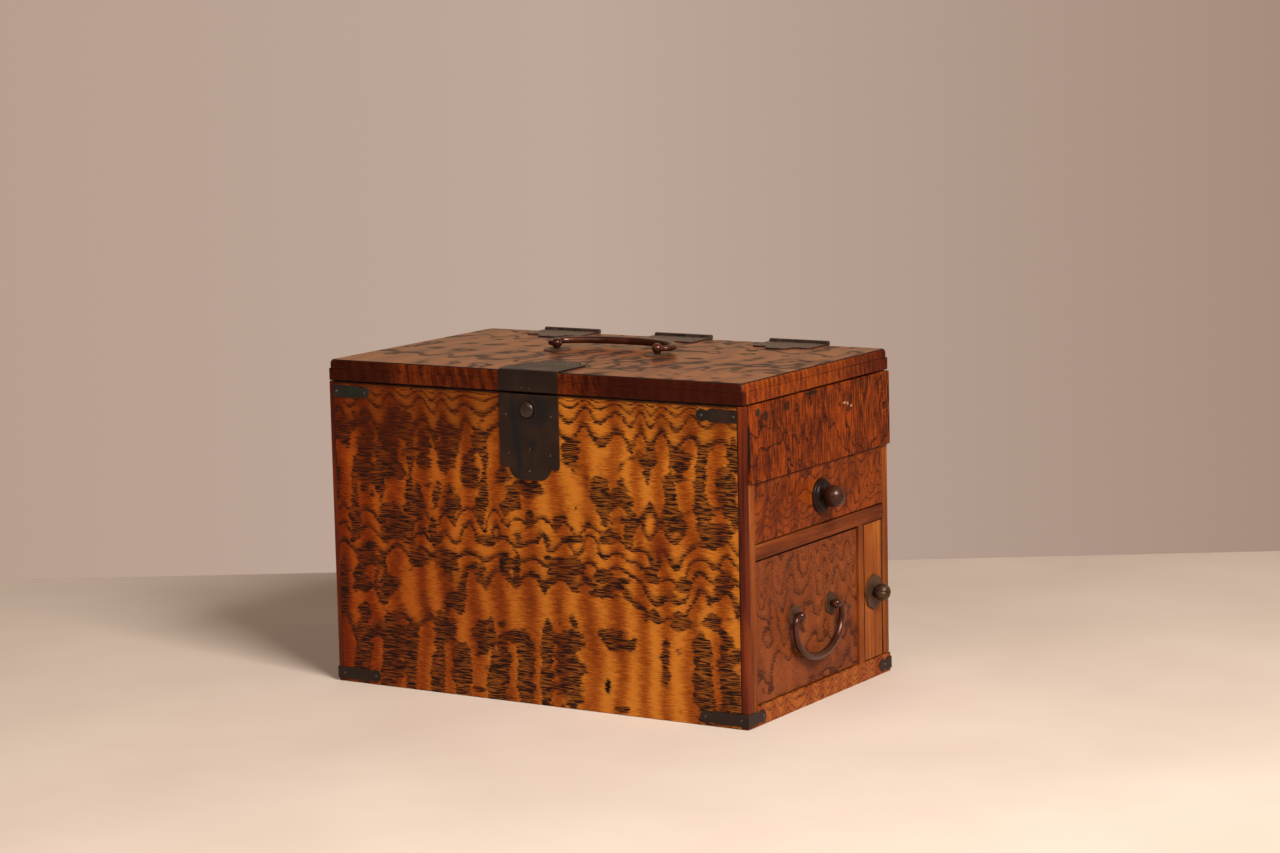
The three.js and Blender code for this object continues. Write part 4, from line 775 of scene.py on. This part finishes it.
def merged_copy(node):
    """A node's mesh with its loose triangles merged."""
    bm = bmesh.new()
    bm.from_mesh(nodes[node].data)
    bmesh.ops.remove_doubles(bm, verts=bm.verts, dist=0.002 * MM)
    return bm


def eased_copy(node, material, easing, shortest=0.0, keep_off=()):
    """A node's own shape with its outer edges eased.

    Edges shorter than the shortest, or close to a nail head at a place in keep_off, stay sharp.
    """
    nail_reach = 1.6 * MM
    flat = math.radians(0.8)
    sharp = math.radians(50)
    bm = merged_copy(node)
    bmesh.ops.dissolve_limit(bm, angle_limit=flat, verts=bm.verts, edges=bm.edges)
    edges = []
    for edge in bm.edges:
        middle = (edge.verts[0].co + edge.verts[1].co) / 2
        clear = all((middle - Vector(spot) * MM).length > nail_reach for spot in keep_off)
        if clear and edge.is_manifold and edge.is_convex and edge.calc_length() > shortest * MM \
                and edge.calc_face_angle() > sharp:
            edges.append(edge)
    ease(bm, edges, easing, segments=2, clamp=True)
    return finish_piece(node + "_piece", bm, material, body_of(node), (node,), weighted=True)


def rounded_copy(node, material, levels=1, swell=0.0):
    """A node's own shape, subdivided where it is round, and swollen first by what that takes away."""
    bm = merged_copy(node)
    bm.normal_update()
    for vert in bm.verts:
        vert.co += vert.normal * swell * MM
    piece = finish_piece(node + "_piece", bm, material, body_of(node), (node,), smooth_angle=60)
    if levels:
        rounding = piece.modifiers.new("rounding", "SUBSURF")
        rounding.levels = rounding.render_levels = levels


def face_finish(piece, material, outward, least=0.7, most=2.0):
    """Another finish on the faces that look outward, by how nearly they do: one is straight outward."""
    piece.data.materials.append(material)
    number = len(piece.data.materials) - 1
    for face in piece.data.polygons:
        if least < face.normal.dot(outward) < most:
            face.material_index = number


def paint_edge_shade(piece, outward, least=0.1):
    """Painted shade for the dark seams: it darkens the eased edges of the face that looks outward."""
    face_finish(piece, edge_shade_wood, outward, least, 0.98)


# How a nail head is turned from upright to stand out along an axis
nail_turns = {
    "X": Matrix.Rotation(math.radians(90), 4, "Y"),
    "Y": Matrix.Rotation(math.radians(90), 4, "X"),
    "Z": Matrix.Identity(4),
}


def nail_heads(name, places, axis, material, body, radius=1.05, height=0.55):
    """Domed nail heads, each sunk to its middle in a face that looks along an axis."""
    bm = bmesh.new()
    for spot in places:
        place = Matrix.Translation(Vector(spot) * MM) @ nail_turns[axis] @ Matrix.Diagonal(
            Vector((radius, radius, height)) * MM).to_4x4()
        bmesh.ops.create_uvsphere(bm, u_segments=12, v_segments=8, radius=1, matrix=place)
    finish_piece(name, bm, material, body, smooth_angle=80)


def turned_shape(profile, seat, out, steps=48, closed=False):
    """A profile of (radius, reach) pairs in millimetres, turned about the way out from its seat."""
    side = RIGHT if out == UP else UP
    bm = bmesh.new()
    ring = [bm.verts.new((Vector(seat) + side * radius + out * reach) * MM) for radius, reach in profile]
    lines = [bm.edges.new(pair) for pair in zip(ring, ring[1:])]
    if closed:
        lines.append(bm.edges.new((ring[-1], ring[0])))
    bmesh.ops.spin(bm, geom=ring + lines, cent=Vector(seat) * MM, axis=out, angle=2 * math.pi, steps=steps,
                   use_merge=True)
    bmesh.ops.remove_doubles(bm, verts=bm.verts, dist=0.01 * MM)
    return bm


def turned(name, profile, seat, out, material, body, replaced=(), closed=False):
    """A turned piece with its finish."""
    bm = turned_shape(profile, seat, out, closed=closed)
    finish_piece(name, bm, material, body, replaced, smooth_angle=40)


def ball_profile(radius, centre_reach, degrees):
    """The part of a ball's profile between two angles from its seat."""
    return [(radius * math.sin(math.radians(a)), centre_reach - radius * math.cos(math.radians(a)))
            for a in degrees]


# Carcase
# Painted shade on the front panel's eased edges, for the dark seams round it
paint_edge_shade(eased_copy("front_panel", front_wood, easing=0.35, shortest=30), FRONT)
box_board("front_corner_strip_left", dark_strip_wood, easing=0.5)
box_board("front_corner_strip_right", dark_strip_wood, easing=0.6)
eased_copy("front_base_board", stile_wood, easing=0.35, shortest=6)
back = eased_copy("back_board", back_wood, easing=0.6, shortest=6)
face_finish(back, back_end_wood, RIGHT)
face_finish(back, long_inside_wood, FRONT)
face_finish(back, long_inside_wood, UP)
upper_side = eased_copy("upper_side_board", upper_side_wood, easing=0.6)
face_finish(upper_side, end_inside_wood, -RIGHT)
left_end = box_board("left_end_board", left_wood, easing=0.4)
face_finish(left_end, end_inside_wood, RIGHT)
face_finish(left_end, end_inside_wood, UP)
box_board("bottom_rail", rail_wood, easing=0.4)
box_board("bottom_board", inner_wood, easing=0.3)
box_board("drawer_shelf", shelf_wood, easing=0.4)
box_board("drawer_divider", stile_wood, easing=0.4)
box_board("compartment_floor", inner_wood, easing=0.3)

# Drawers
drawer_woods = {"upper": upper_drawer_wood, "large": large_drawer_wood, "narrow": narrow_drawer_wood}
for drawer, wood in drawer_woods.items():
    # Painted shade on each drawer front's eased edges, for the dark gaps round it
    paint_edge_shade(eased_copy(drawer + "_drawer_front", wood, easing=0.5, shortest=6), RIGHT)
for drawer in drawer_woods:
    for part in ("near_side", "far_side", "back", "bottom"):
        box_board(f"{drawer}_drawer_{part}", inner_wood, easing=0.3, segments=2)


# Lid
def lid_top_board():
    """The top board of the lid, with its corners and its rim rounded over."""
    bm, low, high = box_block("lid_top_board")
    hair = 0.01 * MM
    corners = [e for e in bm.edges if abs(e.verts[0].co.z - e.verts[1].co.z) > hair]
    ease(bm, corners, 3.2, segments=5)
    rim = [e for e in bm.edges if all(v.co.z > high.z - hair for v in e.verts)]
    ease(bm, rim, 2.6, segments=7)
    seam = [e for e in bm.edges if all(v.co.z < low.z + hair for v in e.verts)]
    ease(bm, seam, 0.5, segments=2)
    board = finish_piece("lid_top_board_piece", bm, lid_top_wood, "lid", ("lid_top_board",),
                         weighted=True)
    face_finish(board, lid_front_wood, FRONT)
    face_finish(board, lid_edge_wood, RIGHT)
    face_finish(board, lid_edge_wood, -RIGHT)
    # Painted shade along the top of the rounded rim, for its thin dark line
    paint_edge_shade(board, UP, least=0.8)


lid_top_board()
core = eased_copy("lid_core_board", lid_edge_wood, easing=0.6, shortest=20)
# Painted shade on the lower eased edges of the core and the front edge, for the seam under the lid
paint_edge_shade(core, -UP)
face_finish(core, lid_inside_wood, -UP, least=0.99)
paint_edge_shade(box_board("lid_front_edge", lid_front_wood, easing=0.6), -UP)

# Lock: a plate with a push button, a strap that comes over the edge of the lid, and what catches inside
lock_face = -97.3
strap_top = 220.5
button_seat = (-0.7, lock_face, 194.5)
button_profile = [(0, -8), (1.8, -8), (1.8, -2.5), (7, -2.5), (7, -1.3), (5.5, -1.3), (5.5, 0.2),
                  (5.3, 0.9), (4.85, 1.5), (4.0, 2.05), (2.9, 2.4), (1.5, 2.57), (0, 2.6)]
button_ring_profile = [(5.9, -0.2), (7.3, -0.2), (7.3, 0.12), (6.9, 0.3), (6.3, 0.3), (5.9, 0.1)]
lock_nails = [(x, lock_face, z) for x, z in (
    (-17.0, 190.83), (17.8, 190.83), (-15.63, 165.44), (16.43, 165.44), (0.4, 154.56))]
lock_rivet = (0.1, lock_face, 168.6)
strap_nails = [(-13.4, -71.0, strap_top), (14.2, -71.0, strap_top), (0.4, -56.74, strap_top)]
strap_rivets = [(-4.3, lock_face, 208.4), (1.6, lock_face, 208.2)]

eased_copy("lock_plate", lock_iron, easing=0.2, keep_off=lock_nails)
nail_heads("lock_plate_nails", lock_nails, "Y", nail_wear_and_glint, "carcase", radius=0.9, height=0.6)
turned("lock_button_piece", button_profile, button_seat, FRONT, button_iron, "button",
       ("lock_button",))
turned("lock_button_ring", button_ring_profile, button_seat, FRONT, plate_iron, "carcase",
       closed=True)
nail_heads("lock_plate_rivet", [lock_rivet], "Y", knob_iron, "carcase", radius=1.7, height=0.5)
eased_copy("lid_strap", plate_iron, easing=0.2, keep_off=strap_nails)
nail_heads("lid_strap_nails", strap_nails, "Z", nail_wear_and_glint, "lid")
nail_heads("lid_strap_rivets", strap_rivets, "Y", hinge_iron, "lid", radius=0.8, height=0.4)
eased_copy("lock_staple", plate_iron, easing=0.15)
eased_copy("lock_latch", plate_iron, easing=0.15)

# Hinges: each leaf has five nails, set out by shares of its half width and of its length
leaf_nails = [(-0.72, 0.35), (0.72, 0.35), (-0.66, 0.68), (0.66, 0.68), (0, 0.88)]
leaf_half_width = 22.7
lid_leaf_back, lid_leaf_length, lid_leaf_top = 95.7, 32.7, 220.4
back_leaf_head, back_leaf_length, back_leaf_face = 218.1, 44, 97.2
for side, centre in (("left", -91.2), ("middle", 0.4), ("right", 92.0)):
    on_lid = [(centre + leaf_half_width * a, lid_leaf_back - lid_leaf_length * b, lid_leaf_top)
              for a, b in leaf_nails]
    on_back = [(centre + leaf_half_width * a, back_leaf_face, back_leaf_head - back_leaf_length * b)
               for a, b in leaf_nails]
    eased_copy(f"hinge_lid_leaf_{side}", hinge_iron, easing=0.2, keep_off=on_lid)
    eased_copy(f"hinge_body_leaf_{side}", hinge_iron, easing=0.2)
    nail_heads(f"hinge_lid_nails_{side}", on_lid, "Z", nail_wear_and_glint, "lid")
    nail_heads(f"hinge_back_nails_{side}", on_back, "Y", dull_nail, "carcase")

# Handles
for kind, ends in (("top_handle", ("left", "right")), ("drawer_bail", ("near", "far"))):
    for which in ends:
        rounded_copy(f"{kind}_post_{which}", bail_iron, levels=0)
rounded_copy("top_handle_bail", bail_iron, swell=0.5)
rounded_copy("drawer_bail", bail_iron, swell=0.5)


def rosette(node, seat, out, radius):
    """A thin domed washer under a post."""
    hole = 1.6
    profile = [(hole, 0), (radius, 0), (radius, 0.5), (radius * 0.95, 0.8), (radius * 0.84, 1.0),
               (radius * 0.5, 1.12), (hole, 1.12)]
    turned(node + "_piece", profile, seat, out, washer_iron, body_of(node), (node,),
           closed=True)


lid_top = 219.5
handle_y = 5
bail_seat_x, bail_height = 158.5, 61.5
for which, x in (("left", -43.6), ("right", 36.0)):
    rosette(f"top_handle_rosette_{which}", (x, handle_y, lid_top), UP, 9)
for which, y in (("near", -32.95), ("far", 14.55)):
    rosette(f"drawer_bail_rosette_{which}", (bail_seat_x, y, bail_height), RIGHT, 7.2)

# Knob of the upper drawer: a ball on a stepped rosette
upper_seat = (159.2, 2.4, 134.6)
upper_rosette_profile = [
    (2.2, 0), (11.4, 0), (11.4, 1.3), (10.9, 1.9), (10.3, 2.1), (10.0, 2.9), (9.5, 3.6), (8.8, 4.0),
    (8.0, 3.9), (7.2, 3.4), (6.4, 3.0), (4.6, 2.8), (2.2, 2.8)]
upper_neck = [(0, -9), (1.9, -9), (1.9, 2.8), (3.4, 2.8)]
upper_tip = [(1.2, 17.15), (0.7, 17.35), (0, 17.4)]
turned("upper_knob_rosette_piece", upper_rosette_profile, upper_seat, RIGHT, rosette_iron, "upper_drawer",
       ("upper_knob_rosette",), closed=True)
turned("upper_knob_piece", upper_neck + ball_profile(7.3, 9.9, range(28, 170, 8)) + upper_tip, upper_seat,
       RIGHT, knob_iron, "upper_drawer", ("upper_knob",))


# Knob of the narrow drawer
def narrow_knob():
    """A ball with flutes that gather at its tip, on a lobed plate."""
    seat = Vector((159.4, 73.2, 58.5))
    radius, centre_reach, flutes, depth = 5.9, 6.7, 14, 0.07
    flutes_start, flutes_grow = 3, 6
    neck = [(0, -9), (1.9, -9), (1.9, 1.2), (3.1, 1.2)]
    tip = [(0, centre_reach + radius)]
    profile = neck + ball_profile(radius, centre_reach, range(32, 180, 6)) + tip
    bm = turned_shape(profile, seat, RIGHT, steps=84)
    for vert in bm.verts:
        place = vert.co - seat * MM
        share = min(max((place.x / MM - flutes_start) / flutes_grow, 0), 1)
        angle = math.atan2(place.y, place.z)
        swell = 1 - depth * share * (0.5 + 0.5 * math.cos(flutes * angle))
        vert.co = seat * MM + Vector((place.x, place.y * swell, place.z * swell))
    finish_piece("narrow_knob_piece", bm, bronze, "narrow_drawer", ("narrow_knob",), 50)


narrow_knob()
eased_copy("narrow_knob_plate", knob_plate_iron, easing=0.3)

# Corner plates, with the places of their nails along the front and above the floor
plate_face = -96.9
corner_nails = {
    "top_left": ((-153.9, -130.9), 198.5),
    "top_right": ((152.8, 129.8), 198.5),
    "front_left": ((-155, -128.8), 6.0),
    "front_right": ((155, 128.8), 6.0),
}
for corner, (places, height) in corner_nails.items():
    spots = [(x, plate_face, height) for x in places]
    metal = green_iron if corner == "top_left" else plate_iron
    eased_copy(f"corner_plate_{corner}", metal, easing=0.15, keep_off=spots)
    nail_heads(f"corner_nails_{corner}", spots, "Y", dull_nail, "carcase")
eased_copy("corner_plate_back_right", plate_iron, easing=0.15)

# Nails on the right: one in each corner plate, and one with a wide head in the upper board
side_plate_face = 160.6
side_nails = [(side_plate_face, -78.4, 6.2), (side_plate_face, 87.0, 6.0)]
wide_nail = (160.3, -79, 199.3)
nail_heads("corner_nails_side", side_nails, "X", dull_nail, "carcase")
nail_heads("side_board_nail", [wide_nail], "X", plate_iron, "carcase", radius=2.6, height=0.5)
